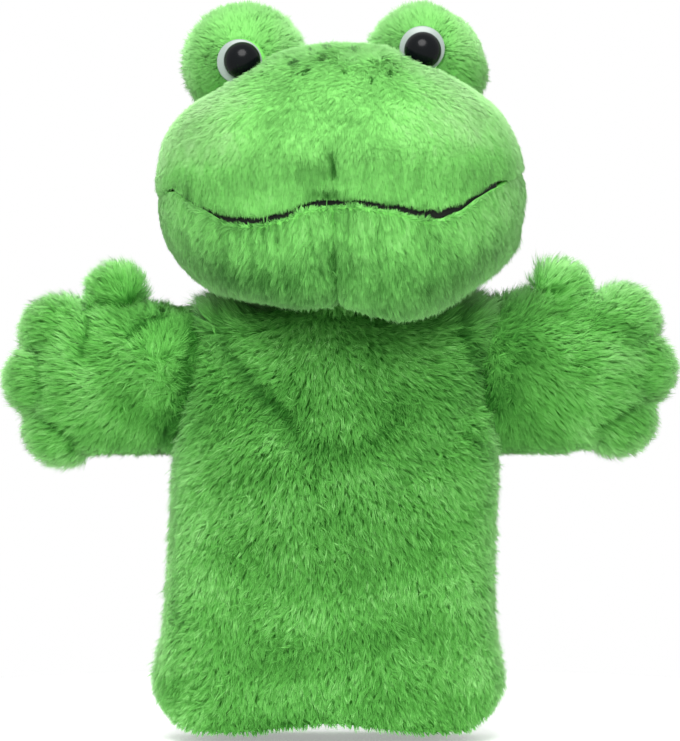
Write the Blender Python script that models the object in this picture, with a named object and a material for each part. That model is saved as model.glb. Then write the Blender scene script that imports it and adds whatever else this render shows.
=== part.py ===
"""A plush frog glove puppet: a hollow body for the hand, a stuffed head on a soft neck and two mitten arms.

The puppet stands on its hem with +Z up and looks along -Y. Every plush piece is a panel of a swelling
surface, as thick as its backing cloth and half its pile, and neighbouring panels meet at a sewn seam.
"""

import math

import bmesh
import bpy
import numpy as np

# Cloth, seams and gaps
PLUSH = 0.0040
LINING = 0.0010
STITCH_GAP = 0.0003
SEAM_EDGE = STITCH_GAP / 2
LOOSE_GAP = 0.0018
HEM_TURN_UP = 0.012
HEM_THICKNESS = 0.0070

# Body: height, half width, front depth and back depth of each section, from the hem to the neck edge
BODY_SECTIONS = (
    (0.0000, 0.0570, 0.0235, 0.0225),
    (0.0160, 0.0582, 0.0245, 0.0235),
    (0.0400, 0.0549, 0.0268, 0.0250),
    (0.0650, 0.0539, 0.0285, 0.0260),
    (0.0900, 0.0538, 0.0280, 0.0260),
    (0.1150, 0.0532, 0.0255, 0.0245),
    (0.1320, 0.0520, 0.0228, 0.0228),
    (0.1412, 0.0498, 0.0202, 0.0208),
    (0.1456, 0.0425, 0.0186, 0.0184),
    (0.1472, 0.0285, 0.0180, 0.0178),
)
BODY_ROUNDNESS = 3.0
BODY_ROWS = 17
BODY_COLUMNS = 15
HEM_SHIFT = -0.004
HEM_CORNER = 0.0105
HEM_CORNER_REACH = (0.044, 0.060)
HEM_LIFT_HEIGHT = 0.050
NECK_SHIFT = 0.002
LINING_START = 0.175
LINING_END = 0.880
LINING_ROWS = 11

# Chest folds: where each soft crease starts and ends in the front view, as (x, z)
CHEST_FOLDS = (
    ((-0.0425, 0.134), (-0.0136, 0.098)),
    ((0.0442, 0.115), (0.0204, 0.088)),
)
FOLD_DEPTH = 0.0025
FOLD_WIDTH = 0.0055

# Neck
NECK_HEIGHT = 0.151
NECK_WIDTH = 0.0285
NECK_DEPTH = 0.0188
NECK_BOTTOM = 0.1476
NECK_TOP = 0.1544
NECK_CLOTH = 0.0030

# Head: height, half width, front depth, back depth and front dip of each section, from the neck to the top
HEAD_SECTIONS = (
    (0.1550, 0.0280, 0.0190, 0.0190, 0.0000),
    (0.1545, 0.0405, 0.0390, 0.0280, 0.0100),
    (0.1595, 0.0518, 0.0490, 0.0360, 0.0080),
    (0.1710, 0.0602, 0.0512, 0.0400, 0.0030),
    (0.1850, 0.0626, 0.0528, 0.0415, 0.0000),
    (0.1990, 0.0612, 0.0550, 0.0415, 0.0000),
    (0.2130, 0.0540, 0.0465, 0.0390, 0.0000),
    (0.2248, 0.0372, 0.0330, 0.0315, 0.0000),
    (0.2335, 0.0195, 0.0160, 0.0185, 0.0000),
    (0.2365, 0.0000, 0.0000, 0.0000, 0.0000),
)
HEAD_ROUNDNESS = 2.25
HEAD_ROLL = math.radians(-3.0)
HEAD_TURN = math.radians(-3.5)
DIP_SHARPNESS = 1.5
DIP_NOTCH = 0.30
DIP_NOTCH_WIDTH = math.radians(13.0)
DIP_SAG = 0.42

# Mouth and head seams
MOUTH_MIDDLE = 0.183
MOUTH_DIP = 0.004
MOUTH_DIP_PITCH = 0.060
MOUTH_CORNER_LIFT = 0.006
MOUTH_CORNER = 0.055
MOUTH_STRETCH = 0.875
MOUTH_END = math.radians(80.0)
STRIP_END = math.radians(60.0)
SEAM_CLOSED = math.radians(70.0)
SIDE_SEAM = math.radians(100.0)
BACK_SEAM = 0.215
HEAD_RISE = 0.125
TURN_STEP = math.radians(10.0)
PANEL_ROWS = 8
TRIM_HEIGHT = 0.0014
TRIM_GAP = 0.0005
TRIM_PROUD = 0.0006

# Eye mounds and plastic eyes
MOUND_SPREAD = 0.0312
MOUND_Y = 0.013
MOUND_Z = 0.2302
MOUND_STEP = 0.0016
MOUND_SIZE = (0.0190, 0.0190, 0.0185)
EYE_SPREAD = 0.0306
EYE_Z = 0.2321
EYE_SEAT_Y = -0.0040
EYE_SEAT_RADIUS = 0.0083
CUTTER_REACH = 0.02
EYE_RADIUS = 0.0063
EYE_DOME = 0.0052
EYE_STEM_RADIUS = 0.0020
EYE_STEM_LENGTH = 0.0105
WHITE_RADIUS = 0.0077
WHITE_THICKNESS = 0.0008
WHITE_DISH = 0.0005
WASHER_RADIUS = 0.0046
WASHER_THICKNESS = 0.0014
WASHER_Y = 0.0050
STEM_CLEARANCE = 0.0003
EYE_DENT = (-0.0115, 0.0072)

# Head filling and the finger pocket in it
FILLING_COLUMNS = 24
FILLING_ROWS = 13
FILLING_START = 0.208
TUBE_RADIUS = 0.0125
TUBE_BOTTOM = 0.1612
TUBE_TOP = 0.2080

# Sleeve and paw, drawn for the arm on the +X side
ARM_Z = 0.1225
ARM_HEIGHT = 0.0250
ARM_DEPTH = 0.0165
SHOULDER_X = 0.058
SHOULDER_Z = 0.120
ARMHOLE_MARGIN = 0.0020
SHOULDER_SLOPE = (0.0440, 0.0495)
SLEEVE_GAP = 0.0008
SLEEVE_START = 0.0495
CUFF_TOP_X = 0.0630
CUFF_SLANT = 0.27
PALM_X = 0.083
PALM_LENGTH = 0.022
PAW_CENTRE = (0.088, 0.1225)
# Each lobe: x, z, radius and depth
PAW_LOBES = (
    (0.0755, 0.1512, 0.0095, 0.0080),
    (0.0950, 0.1383, 0.0118, 0.0105),
    (0.1005, 0.1225, 0.0118, 0.0110),
    (0.0935, 0.1068, 0.0122, 0.0105),
)
LOBE_BLEND = 6.0
# How far each paw is sewn above the level of its sleeve, and where along the arm that bend lies
PAW_LIFT = {"left": -0.0005, "right": 0.0034}
PAW_BEND = (0.066, 0.098)
# How far each thumb leans out along the arm, and the heights over which it leans
THUMB_LEAN = {"left": 0.0, "right": -0.0018}
THUMB_BEND = (0.148, 0.158)
TOE_WALL_X = 0.0900
TOE_CENTRE = (0.0960, 0.1225)
PAW_RINGS = 5
PAW_COLUMNS = 40
SLEEVE_COLUMNS = 28

# Colours as linear values
BODY_GREEN = (0.078, 0.300, 0.050)
HEAD_GREEN = (0.170, 0.520, 0.115)
LINING_GREEN = (0.050, 0.220, 0.040)
FILLING_WHITE = (0.80, 0.79, 0.75)
TRIM_BLACK = (0.004, 0.006, 0.004)
EYE_BLACK = (0.004, 0.005, 0.005)
EYE_WHITE = (0.62, 0.68, 0.65)
WASHER_WHITE = (0.70, 0.70, 0.68)


def clear_scene():
    for obj in list(bpy.data.objects):
        bpy.data.objects.remove(obj, do_unlink=True)


def finish(name, colour, roughness):
    """A plain material for one cloth or plastic."""
    material = bpy.data.materials.new(name)
    material.use_nodes = True
    shader = material.node_tree.nodes["Principled BSDF"]
    shader.inputs["Base Color"].default_value = (*colour, 1.0)
    shader.inputs["Roughness"].default_value = roughness
    shader.inputs["Metallic"].default_value = 0.0
    return material


def empty(name, place, roll=0.0, turn=0.0):
    """A pivot that pieces hang on, rolled about Y and then turned about Z."""
    pivot = bpy.data.objects.new(name, None)
    pivot.location = place
    pivot.rotation_euler = (0.0, roll, turn)
    pivot.empty_display_size = 0.01
    bpy.context.collection.objects.link(pivot)
    return pivot


def solid(name, points, faces, material, pivot=None):
    """An object from points and faces in the puppet's frame, with its origin on its pivot."""
    base = np.array(pivot.location) if pivot else np.zeros(3)
    mesh = bpy.data.meshes.new(name)
    mesh.from_pydata((np.asarray(points) - base).tolist(), [], faces)
    shape = bmesh.new()
    shape.from_mesh(mesh)
    bmesh.ops.recalc_face_normals(shape, faces=shape.faces)
    shape.to_mesh(mesh)
    shape.free()
    mesh.shade_smooth()
    mesh.set_sharp_from_angle(angle=math.radians(50))
    obj = bpy.data.objects.new(name, mesh)
    bpy.context.collection.objects.link(obj)
    if material:
        mesh.materials.append(material)
    obj.parent = pivot
    return obj


def strip_faces(lower, upper, wrap):
    """Quads between two rows of point numbers, or triangles where one row is a single point."""
    if len(lower) == 1 and len(upper) == 1:
        return []
    count = max(len(lower), len(upper))
    faces = []
    for i in range(count if wrap else count - 1):
        j = (i + 1) % count
        if len(lower) == 1:
            faces.append((lower[0], upper[j], upper[i]))
        elif len(upper) == 1:
            faces.append((lower[i], lower[j], upper[0]))
        else:
            faces.append((lower[i], lower[j], upper[j], upper[i]))
    return faces


def loft(name, rings, material, pivot=None, closed=False):
    """A solid skinned through rings of points. A ring of one point ends it; closed joins last to first."""
    rows = []
    points = []
    for circle in rings:
        rows.append(list(range(len(points), len(points) + len(circle))))
        points.extend(circle)
    faces = []
    for lower, upper in zip(rows, rows[1:]):
        faces += strip_faces(lower, upper, True)
    if closed:
        faces += strip_faces(rows[-1], rows[0], True)
    else:
        faces += [tuple(end) for end in (rows[0][::-1], rows[-1]) if len(end) > 1]
    return solid(name, points, faces, material, pivot)


def panel(name, outer, inner, material, pivot=None, wrap=False, pole=False):
    """A cloth panel between two grids of points, closed round its edges.

    wrap joins the last column to the first, and pole gathers the last row into one point.
    """
    rows, columns = outer.shape[:2]
    sides = []
    points = []
    for layer in (outer, inner):
        numbers = []
        for i in range(rows):
            row = layer[i]
            if pole and i == rows - 1:
                row = row.mean(axis=0, keepdims=True)
            numbers.append(list(range(len(points), len(points) + len(row))))
            points.extend(row)
        sides.append(numbers)
    faces = []
    for numbers in sides:
        for lower, upper in zip(numbers, numbers[1:]):
            faces += strip_faces(lower, upper, wrap)
    front, back = sides
    faces += strip_faces(front[0], back[0], wrap)
    if not pole:
        faces += strip_faces(front[-1], back[-1], wrap)
    if not wrap:
        for column in (0, -1):
            near = [row[column] for row in front]
            far = [row[column] for row in back]
            faces += strip_faces(near, far, False)
    return solid(name, points, faces, material, pivot)


def read_sections(sections, along):
    """A loft's values at along, 0 at the first section and 1 at the last, on a smooth curve through all."""
    rows = np.asarray(sections)
    place = np.clip(along, 0.0, 1.0) * (len(rows) - 1)
    i = np.minimum(place.astype(int), len(rows) - 2)
    f = (place - i)[..., None]
    before, here = rows[np.maximum(i - 1, 0)], rows[i]
    there, after = rows[i + 1], rows[np.minimum(i + 2, len(rows) - 1)]
    bend = 2 * before - 5 * here + 4 * there - after
    twist = 3 * (here - there) + after - before
    return here + 0.5 * f * (there - before + f * (bend + f * twist))


def rounded(value, power):
    return np.sign(value) * np.abs(value) ** (2.0 / power)


def smooth_step(value, low, high):
    share = np.clip((value - low) / (high - low), 0.0, 1.0)
    return share * share * (3.0 - 2.0 * share)


def oval(turn, width, front, back, power):
    """x and y on a rounded oval. turn is 0 at the front and a quarter turn on the +X side."""
    across = rounded(np.cos(turn), power)
    return width * rounded(np.sin(turn), power), -np.where(across > 0, front, back) * across


def fold_dip(x, z):
    """How far the chest's soft creases press the cloth in."""
    dip = np.zeros_like(x)
    for start, end in CHEST_FOLDS:
        start, end = np.array(start), np.array(end)
        run = end - start
        share = ((x - start[0]) * run[0] + (z - start[1]) * run[1]) / (run @ run)
        share = np.clip(share, 0.0, 1.0)
        away = np.hypot(x - start[0] - share * run[0], z - start[1] - share * run[1])
        dip = np.maximum(dip, FOLD_DEPTH * np.exp(-((away / FOLD_WIDTH) ** 2)))
    return dip


def body_shift(z):
    """How far the body leans sideways at a height."""
    return HEM_SHIFT + (NECK_SHIFT - HEM_SHIFT) * (z / BODY_SECTIONS[-1][0]) ** 2


def body_surface(turn, along):
    """The glove body, leaning a little to one side at the hem."""
    z, width, front, back = np.moveaxis(read_sections(BODY_SECTIONS, along), -1, 0)
    x, y = oval(turn, width, np.maximum(front, 0), np.maximum(back, 0), BODY_ROUNDNESS)
    x = x + body_shift(z)
    y = y + np.where(np.cos(turn) > 0, fold_dip(x, z), 0.0)
    return np.stack([x, y, z + 0 * x], axis=-1)


def head_surface(turn, along):
    """The head, upright. The chin hangs in front of the neck, notched at its seam and lower at +X."""
    values = read_sections(HEAD_SECTIONS, along)
    z, width, front, back, dip = np.moveaxis(values, -1, 0)
    width = np.maximum(width, 0)
    x, y = oval(turn, width, np.maximum(front, 0), np.maximum(back, 0), HEAD_ROUNDNESS)
    x = x + NECK_SHIFT
    notch = DIP_NOTCH * np.exp(-((turn / DIP_NOTCH_WIDTH) ** 2))
    hang = np.maximum(np.cos(turn), 0) ** DIP_SHARPNESS * (1 - notch + DIP_SAG * np.sin(2 * turn))
    z = z - np.maximum(dip, 0) * hang
    return np.stack([x, y, z + 0 * x], axis=-1)


def sunk(surface, turn, along, depth):
    """Points of a surface moved in along its normal by depth."""
    step = 1e-3
    level = np.clip(along, step, 0.985)
    around = surface(turn + step, level) - surface(turn - step, level)
    upward = surface(turn, level + step) - surface(turn, level - step)
    normal = np.cross(around, upward)
    normal /= np.maximum(np.linalg.norm(normal, axis=-1, keepdims=True), 1e-12)
    return surface(turn, along) - normal * np.asarray(depth)[..., None]


def grid(rows, columns):
    """Row shares and column shares, each from 0 to 1, as two arrays of rows by columns."""
    return np.meshgrid(np.linspace(0, 1, rows), np.linspace(0, 1, columns), indexing="ij")


def armhole_reach(along):
    """How far a body panel's edge stays from the side seam, in y, to leave the armhole open."""
    z, width = np.moveaxis(read_sections(BODY_SECTIONS, along), -1, 0)[:2]
    height, depth = ARM_HEIGHT - ARMHOLE_MARGIN, ARM_DEPTH - ARMHOLE_MARGIN
    hole = depth * np.sqrt(np.clip(1 - ((z - ARM_Z) / height) ** 2, 0, 1))
    open_side = smooth_step(width, *SHOULDER_SLOPE)
    return SEAM_EDGE + hole * open_side


def body_panel(name, side, depths, first, last, rows, columns, material):
    """The front (side 1) or back (side -1) of the body or its lining, between two depths."""
    up, across = grid(rows, columns)
    along = first + (last - first) * up
    sections = np.moveaxis(read_sections(BODY_SECTIONS, along), -1, 0)
    reach = armhole_reach(along) / (sections[2] if side > 0 else sections[3])
    edge = np.arccos(np.clip(reach, 0, 1) ** (BODY_ROUNDNESS / 2))
    turn = edge * (2 * across - 1)
    if side < 0:
        turn = math.pi - turn
    layers = []
    for depth in depths:
        points = sunk(body_surface, turn, along, depth(sections[0]))
        if first == 0:
            points[0, :, 2] = 0.0
            corner = HEM_CORNER * smooth_step(np.abs(points[..., 0] - HEM_SHIFT), *HEM_CORNER_REACH) ** 1.5
            points[..., 2] += corner * np.clip(1 - points[..., 2] / HEM_LIFT_HEIGHT, 0, 1) ** 2
        layers.append(points)
    return panel(name, *layers, material)


def plush_depth(z):
    """Inner face of a body panel: the hem is turned up inside, so the cloth is thicker there."""
    return HEM_THICKNESS + (PLUSH - HEM_THICKNESS) * smooth_step(z, 0.9 * HEM_TURN_UP, 1.3 * HEM_TURN_UP)


def build_body(finishes):
    """Front and back plush panels and the lining sewn in behind them."""
    lining_face = PLUSH + LOOSE_GAP
    for name, side in (("front", 1), ("back", -1)):
        body_panel(
            "body_" + name,
            side,
            (lambda z: 0 * z, plush_depth),
            0.0,
            1.0,
            BODY_ROWS,
            BODY_COLUMNS,
            finishes["body_plush"],
        )
        body_panel(
            "lining_" + name,
            side,
            (lambda z: 0 * z + lining_face, lambda z: 0 * z + lining_face + LINING),
            LINING_START,
            LINING_END,
            LINING_ROWS,
            LINING_ROWS,
            finishes["lining"],
        )


def ring(width, depth, z, count=24, x=0.0, y=0.0):
    """A level oval of points."""
    turn = np.linspace(0, 2 * math.pi, count, endpoint=False)
    flat = np.full(count, z)
    return np.stack([x + width * np.sin(turn), y - depth * np.cos(turn), flat], axis=-1)


def build_neck(finishes, pivot):
    """The soft cloth ring between body and head, where the head nods. Its top follows the rolled head."""
    shares = np.linspace(0, 1, 4)

    def neck_ring(cloth, share):
        points = ring(NECK_WIDTH - cloth, NECK_DEPTH - cloth, NECK_BOTTOM)
        top = NECK_TOP - math.tan(HEAD_ROLL) * points[:, 0]
        points[:, 2] += share * (top - NECK_BOTTOM)
        points[:, 0] += NECK_SHIFT
        return points

    rings = [neck_ring(0.0, share) for share in shares]
    rings += [neck_ring(NECK_CLOTH, share) for share in shares[::-1]]
    loft("neck_sleeve", rings, finishes["body_plush"], pivot, closed=True)


def mouth_height(x):
    """Height of the mouth line across the muzzle: a shallow double wave that lifts at the corners."""
    wave = MOUTH_DIP * np.sin(math.pi * x / MOUTH_DIP_PITCH) ** 2
    return MOUTH_MIDDLE - wave + MOUTH_CORNER_LIFT * (x / MOUTH_CORNER) ** 6


def seam_along(turn):
    """Where on the head the crown ends: at the mouth in front, rising past the cheeks to the back seam."""
    turn = np.asarray(turn)
    levels = np.linspace(0.15, 0.95, 161)
    found = np.empty(turn.shape)
    for i in np.ndindex(turn.shape):
        points = head_surface(np.full(levels.shape, turn[i]), levels)
        backward = smooth_step(abs(turn[i]), MOUTH_END, math.pi)
        reach = points[:, 0] - NECK_SHIFT
        reach = np.minimum(np.maximum(-reach, MOUTH_STRETCH * reach), MOUTH_CORNER)
        target = mouth_height(reach) * (1 - backward) + BACK_SEAM * backward
        found[i] = np.interp(0.0, points[:, 2] - target, levels)
    return found


def head_panel(name, turns, bottom, top, rows, material, pivot, depths=(0.0, PLUSH), pole=False):
    """A plush panel of the head between two turns, from bottom(turn) to top(turn) along the head."""
    columns = 1 + round((turns[1] - turns[0]) / TURN_STEP)
    up, across = grid(rows, columns)
    turn = turns[0] + (turns[1] - turns[0]) * across
    low, high = bottom(turn[0]), top(turn[0])
    along = low + (high - low) * up
    layers = [sunk(head_surface, turn, along, np.full(turn.shape, depth)) for depth in depths]
    if pole:
        layers = [layer[:, :-1] for layer in layers]
    return panel(name, *layers, material, pivot, wrap=pole, pole=pole)


def build_head(finishes, pivot):
    """Crown, two chin panels with a seam between them, the back, and the dark strip sewn into the mouth."""
    plush = finishes["head_plush"]
    half_trim = 0.5 * TRIM_HEIGHT / HEAD_RISE
    stitch = SEAM_EDGE / HEAD_SECTIONS[4][1]

    def seam(share, gap):
        """A line beside the mouth seam, as a share of the strip and a gap, which meets it past the strip."""

        def line(turn):
            turn = (turn + math.pi) % (2 * math.pi) - math.pi
            closed = smooth_step(np.abs(turn), STRIP_END, SEAM_CLOSED)
            shift = (half_trim + gap / HEAD_RISE) * (1 - closed) + SEAM_EDGE / HEAD_RISE * closed
            return seam_along(turn) + share * shift

        return line

    def neck_edge(turn):
        return np.zeros_like(turn)

    def top_point(turn):
        return np.ones_like(turn)

    whole = (-math.pi, math.pi)
    crown = head_panel("head_crown", whole, seam(1, TRIM_GAP), top_point, PANEL_ROWS, plush, pivot, pole=True)
    below = seam(-1, TRIM_GAP)
    head_panel("chin_left", (stitch - SIDE_SEAM, -stitch), neck_edge, below, PANEL_ROWS, plush, pivot)
    head_panel("chin_right", (stitch, SIDE_SEAM - stitch), neck_edge, below, PANEL_ROWS, plush, pivot)
    rear = (SIDE_SEAM + stitch, 2 * math.pi - SIDE_SEAM - stitch)
    head_panel("head_back", rear, neck_edge, below, PANEL_ROWS + 1, plush, pivot)
    mouth = (-STRIP_END, STRIP_END)
    strip = (-TRIM_PROUD, PLUSH)
    head_panel("mouth_trim", mouth, seam(-1, 0.0), seam(1, 0.0), 2, finishes["trim"], pivot, strip)
    return crown


def head_rings(depth, levels, count):
    """Closed rings of the head's surface, sunk by depth, ending in one point at the top."""
    turn = np.linspace(0, 2 * math.pi, count, endpoint=False)
    rings = []
    for level in levels:
        points = sunk(head_surface, turn, np.full(count, level), np.full(count, depth))
        rings.append(points)
    rings[-1] = rings[-1].mean(axis=0, keepdims=True)
    return rings


def build_filling(finishes, pivot):
    """The fibre filling of the head and the cloth finger pocket that it is packed round."""
    count = FILLING_COLUMNS
    outside = head_rings(PLUSH + LOOSE_GAP, np.linspace(FILLING_START, 1.0, FILLING_ROWS), count)

    def pocket(radius):
        top = TUBE_TOP + radius - TUBE_RADIUS
        rings = []
        for z in np.linspace(TUBE_BOTTOM, TUBE_TOP - TUBE_RADIUS, 4):
            rings.append(ring(radius, radius, z, count, NECK_SHIFT))
        for angle in np.radians((25, 50, 72)):
            height = TUBE_TOP - TUBE_RADIUS + radius * math.sin(angle)
            reach = radius * math.cos(angle)
            rings.append(ring(reach, reach, height, count, NECK_SHIFT))
        return rings + [np.array([[NECK_SHIFT, 0.0, top]])]

    hole = pocket(TUBE_RADIUS + STITCH_GAP)
    loft("head_filling", hole[::-1] + outside, finishes["filling"], pivot)
    skin = pocket(TUBE_RADIUS)
    inside = pocket(TUBE_RADIUS - LINING)
    loft("finger_pocket", skin[::-1] + inside, finishes["lining"], pivot)


def ball(name, centre, size, material, pivot, columns=20, rows=10):
    """A closed ellipsoid."""
    rings = []
    for angle in np.linspace(-math.pi / 2, math.pi / 2, rows + 1):
        if abs(math.cos(angle)) < 1e-6:
            rings.append(np.array([[0.0, 0.0, math.sin(angle)]]))
        else:
            rings.append(ring(math.cos(angle), math.cos(angle), math.sin(angle), columns))
    rings = [np.asarray(points) * size + centre for points in rings]
    return loft(name, rings, material, pivot)


def turned(name, profile, centre, material, pivot, count=20):
    """A piece turned about a line along Y, from (radius, y) pairs. A zero radius closes an end."""
    rings = []
    for radius, y in profile:
        if radius == 0:
            rings.append(np.array([[0.0, y, 0.0]]))
        else:
            turn = np.linspace(0, 2 * math.pi, count, endpoint=False)
            flat = np.full(count, y)
            rings.append(np.stack([radius * np.cos(turn), flat, radius * np.sin(turn)], axis=-1))
    rings = [points + np.array(centre) for points in rings]
    closed = profile[0][0] > 0 and profile[-1][0] > 0
    return loft(name, rings, material, pivot, closed=closed)


def cut(obj, cutter):
    """Takes a helper's shape out of a piece."""
    cutter.hide_render = True
    cutter.display_type = "WIRE"
    modifier = obj.modifiers.new("cut_" + cutter.name, "BOOLEAN")
    modifier.operation = "DIFFERENCE"
    modifier.object = cutter


def build_eye(side, finishes, pivot, crown, head_shape):
    """A stuffed eye mound sewn on the crown, and the plastic eye clamped through it with a washer."""
    label = "left" if side < 0 else "right"
    centre = np.array((side * MOUND_SPREAD + NECK_SHIFT, MOUND_Y, MOUND_Z - side * MOUND_STEP))
    size = np.array(MOUND_SIZE)
    eye = np.array((side * EYE_SPREAD + NECK_SHIFT, 0.0, EYE_Z))

    mound = ball(label + "_eye_mound", centre, size, finishes["head_plush"], pivot)
    hollow = ball("cut_hollow_" + label, centre, size - PLUSH, None, pivot, 16, 8)
    inner = size - PLUSH - LOOSE_GAP
    filling = ball(label + "_eye_filling", centre, inner, finishes["filling"], pivot, 16, 8)

    front = EYE_SEAT_Y - CUTTER_REACH
    seat_profile = ((0, front), (EYE_SEAT_RADIUS, front), (EYE_SEAT_RADIUS, EYE_SEAT_Y), (0, EYE_SEAT_Y))
    seat = turned("cut_seat_" + label, seat_profile, eye, None, pivot, 24)
    hole_radius = EYE_STEM_RADIUS + STEM_CLEARANCE
    pocket_radius = WASHER_RADIUS + STEM_CLEARANCE
    stem_end = EYE_SEAT_Y + EYE_STEM_LENGTH
    hole_profile = ((0, front), (hole_radius, front), (hole_radius, stem_end), (0, stem_end))
    hole = turned("cut_hole_" + label, hole_profile, eye, None, pivot, 16)
    pocket_back = stem_end + STEM_CLEARANCE
    pocket_profile = ((0, front), (pocket_radius, front), (pocket_radius, pocket_back), (0, pocket_back))
    pocket = turned("cut_pocket_" + label, pocket_profile, eye, None, pivot, 16)
    for cutter in (hollow, head_shape, seat, hole):
        cut(mound, cutter)
    for cutter in (head_shape, pocket):
        cut(filling, cutter)
    before, behind = EYE_DENT
    dent_profile = ((0, before), (EYE_SEAT_RADIUS, before), (EYE_SEAT_RADIUS, behind), (0, behind))
    cut(crown, turned("cut_dent_" + label, dent_profile, eye, None, pivot, 24))

    disc_back = EYE_SEAT_Y - STEM_CLEARANCE
    disc_front = disc_back - WHITE_THICKNESS
    disc = (
        (hole_radius, disc_back),
        (WHITE_RADIUS - WHITE_THICKNESS, disc_back),
        (WHITE_RADIUS, disc_back - WHITE_DISH),
        (WHITE_RADIUS - 0.5 * WHITE_THICKNESS, disc_front - WHITE_DISH),
        (EYE_RADIUS, disc_front),
        (hole_radius, disc_front),
    )
    turned(label + "_eye_white", disc, eye, finishes["eye_white"], pivot, 24)

    dome_back = disc_front - STEM_CLEARANCE
    dome = [(0, stem_end - STEM_CLEARANCE), (EYE_STEM_RADIUS, stem_end - STEM_CLEARANCE)]
    dome += [(EYE_STEM_RADIUS, dome_back), (EYE_RADIUS * 0.96, dome_back)]
    for angle in np.radians((8, 28, 50, 70)):
        dome.append((EYE_RADIUS * math.cos(angle), dome_back - EYE_DOME * math.sin(angle)))
    dome.append((0, dome_back - EYE_DOME))
    turned(label + "_eye", dome, eye, finishes["eye_black"], pivot, 24)

    washer_back = WASHER_Y + WASHER_THICKNESS
    washer = (
        (hole_radius, WASHER_Y),
        (WASHER_RADIUS, WASHER_Y),
        (WASHER_RADIUS, WASHER_Y + 0.5 * WASHER_THICKNESS),
        (0.6 * WASHER_RADIUS, washer_back),
        (hole_radius, washer_back),
    )
    turned(label + "_eye_washer", washer, eye, finishes["washer"], pivot)


def body_side(y, z):
    """How far the body's surface reaches sideways at a depth and height."""
    levels = np.linspace(0, 1, 400)
    heights, widths, fronts, backs = read_sections(BODY_SECTIONS, levels).T
    depth = np.where(y < 0, np.interp(z, heights, fronts), np.interp(z, heights, backs))
    rest = np.clip(1 - (np.abs(y) / depth) ** BODY_ROUNDNESS, 0, 1)
    return np.interp(z, heights, widths) * rest ** (1 / BODY_ROUNDNESS)


def cuff_x(z):
    """Where the sleeve ends and the paw begins, on a slant below the thumb."""
    return CUFF_TOP_X + CUFF_SLANT * (ARM_Z + ARM_HEIGHT - z)


def paw_shares(x, z, shrink):
    """For the forearm and each lobe: how much of its oval is left at (x, z), and its depth."""
    beyond = np.maximum(x - PALM_X, 0.0)
    left = 1 - ((z - ARM_Z) / (ARM_HEIGHT - shrink)) ** 2 - (beyond / (PALM_LENGTH - shrink)) ** 2
    shares = [(left, ARM_DEPTH - shrink)]
    for lobe_x, lobe_z, radius, depth in PAW_LOBES:
        left = 1 - ((x - lobe_x) ** 2 + (z - lobe_z) ** 2) / (radius - shrink) ** 2
        shares.append((left, depth - shrink))
    return shares


def paw_height(x, z, shrink):
    """How far the paw swells from its middle plane: soft lobes run together with creases between them."""
    total = 0.0
    for left, depth in paw_shares(x, z, shrink):
        total = total + (depth * np.sqrt(np.maximum(left, 0.0))) ** LOBE_BLEND
    return total ** (1 / LOBE_BLEND)


def paw_reach(angle, centre, wall, shrink):
    """Distance from a centre to the paw's outline, or to the wall that closes the paw towards the body."""
    near, far = np.zeros_like(angle), np.full_like(angle, 0.06)
    for _ in range(40):
        middle = 0.5 * (near + far)
        x, z = centre[0] + middle * np.cos(angle), centre[1] + middle * np.sin(angle)
        inside = np.max([left for left, depth in paw_shares(x, z, shrink)], axis=0) > 0
        inside &= x >= wall(z)
        near, far = np.where(inside, middle, near), np.where(inside, far, middle)
    return near


def paw_grid(centre, wall, shrink, rings, count):
    """Points over the paw from its outline (first row) to its centre, as x, swell and z."""
    angle = np.linspace(0, 2 * math.pi, count, endpoint=False)
    reach = paw_reach(angle, centre, wall, shrink)
    share = np.sin(np.linspace(math.pi / 2, 0, rings))[:, None]
    x = centre[0] + share * reach * np.cos(angle)
    z = centre[1] + share * reach * np.sin(angle)
    return x, np.maximum(paw_height(x, z, shrink), SEAM_EDGE), z


def build_arm(side, finishes, shoulder):
    """A soft sleeve set into the armhole, then a paw of two panels with fibre filling in its toes."""
    label = "left" if side < 0 else "right"
    plush = finishes["body_plush"]

    around = np.linspace(0, 2 * math.pi, SLEEVE_COLUMNS, endpoint=False)

    def paw_face(x, swell, z, face):
        """One face of the paw, bent up or down from the sleeve as it is sewn."""
        lift = PAW_LIFT[label] * smooth_step(x, *PAW_BEND)
        lean = THUMB_LEAN[label] * smooth_step(z, *THUMB_BEND)
        return np.stack([side * (x + lean), face * swell, z + lift], axis=-1)

    def sleeve_ring(shrink, share):
        y = (ARM_DEPTH - shrink) * np.cos(around)
        z = ARM_Z + (ARM_HEIGHT - shrink) * np.sin(around)
        seat = np.maximum(body_side(y, z) + side * body_shift(z) + SLEEVE_GAP, SLEEVE_START)
        x = seat + share * (cuff_x(z) - STITCH_GAP - seat)
        return np.stack([side * x, y, z], axis=-1)

    shares = np.linspace(0, 1, 4)
    rings = [sleeve_ring(0.0, share) for share in shares]
    rings += [sleeve_ring(PLUSH, share) for share in shares[::-1]]
    loft(label + "_sleeve", rings, plush, shoulder, closed=True)

    for name, face in (("front", -1), ("back", 1)):
        layers = []
        for shrink in (0.0, PLUSH):
            x, swell, z = paw_grid(PAW_CENTRE, cuff_x, shrink, PAW_RINGS, PAW_COLUMNS)
            layers.append(paw_face(x, swell, z, face))
        panel(f"{label}_arm_{name}", *layers, plush, shoulder, wrap=True, pole=True)

    def toe_wall(z):
        return np.full_like(z, TOE_WALL_X)

    shrink = PLUSH + LOOSE_GAP
    x, swell, z = paw_grid(TOE_CENTRE, toe_wall, shrink, PAW_RINGS - 1, PAW_COLUMNS)
    layers = [paw_face(x, swell, z, face) for face in (-1, 1)]
    panel(label + "_toe_filling", *layers, finishes["filling"], shoulder, wrap=True, pole=True)


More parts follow.
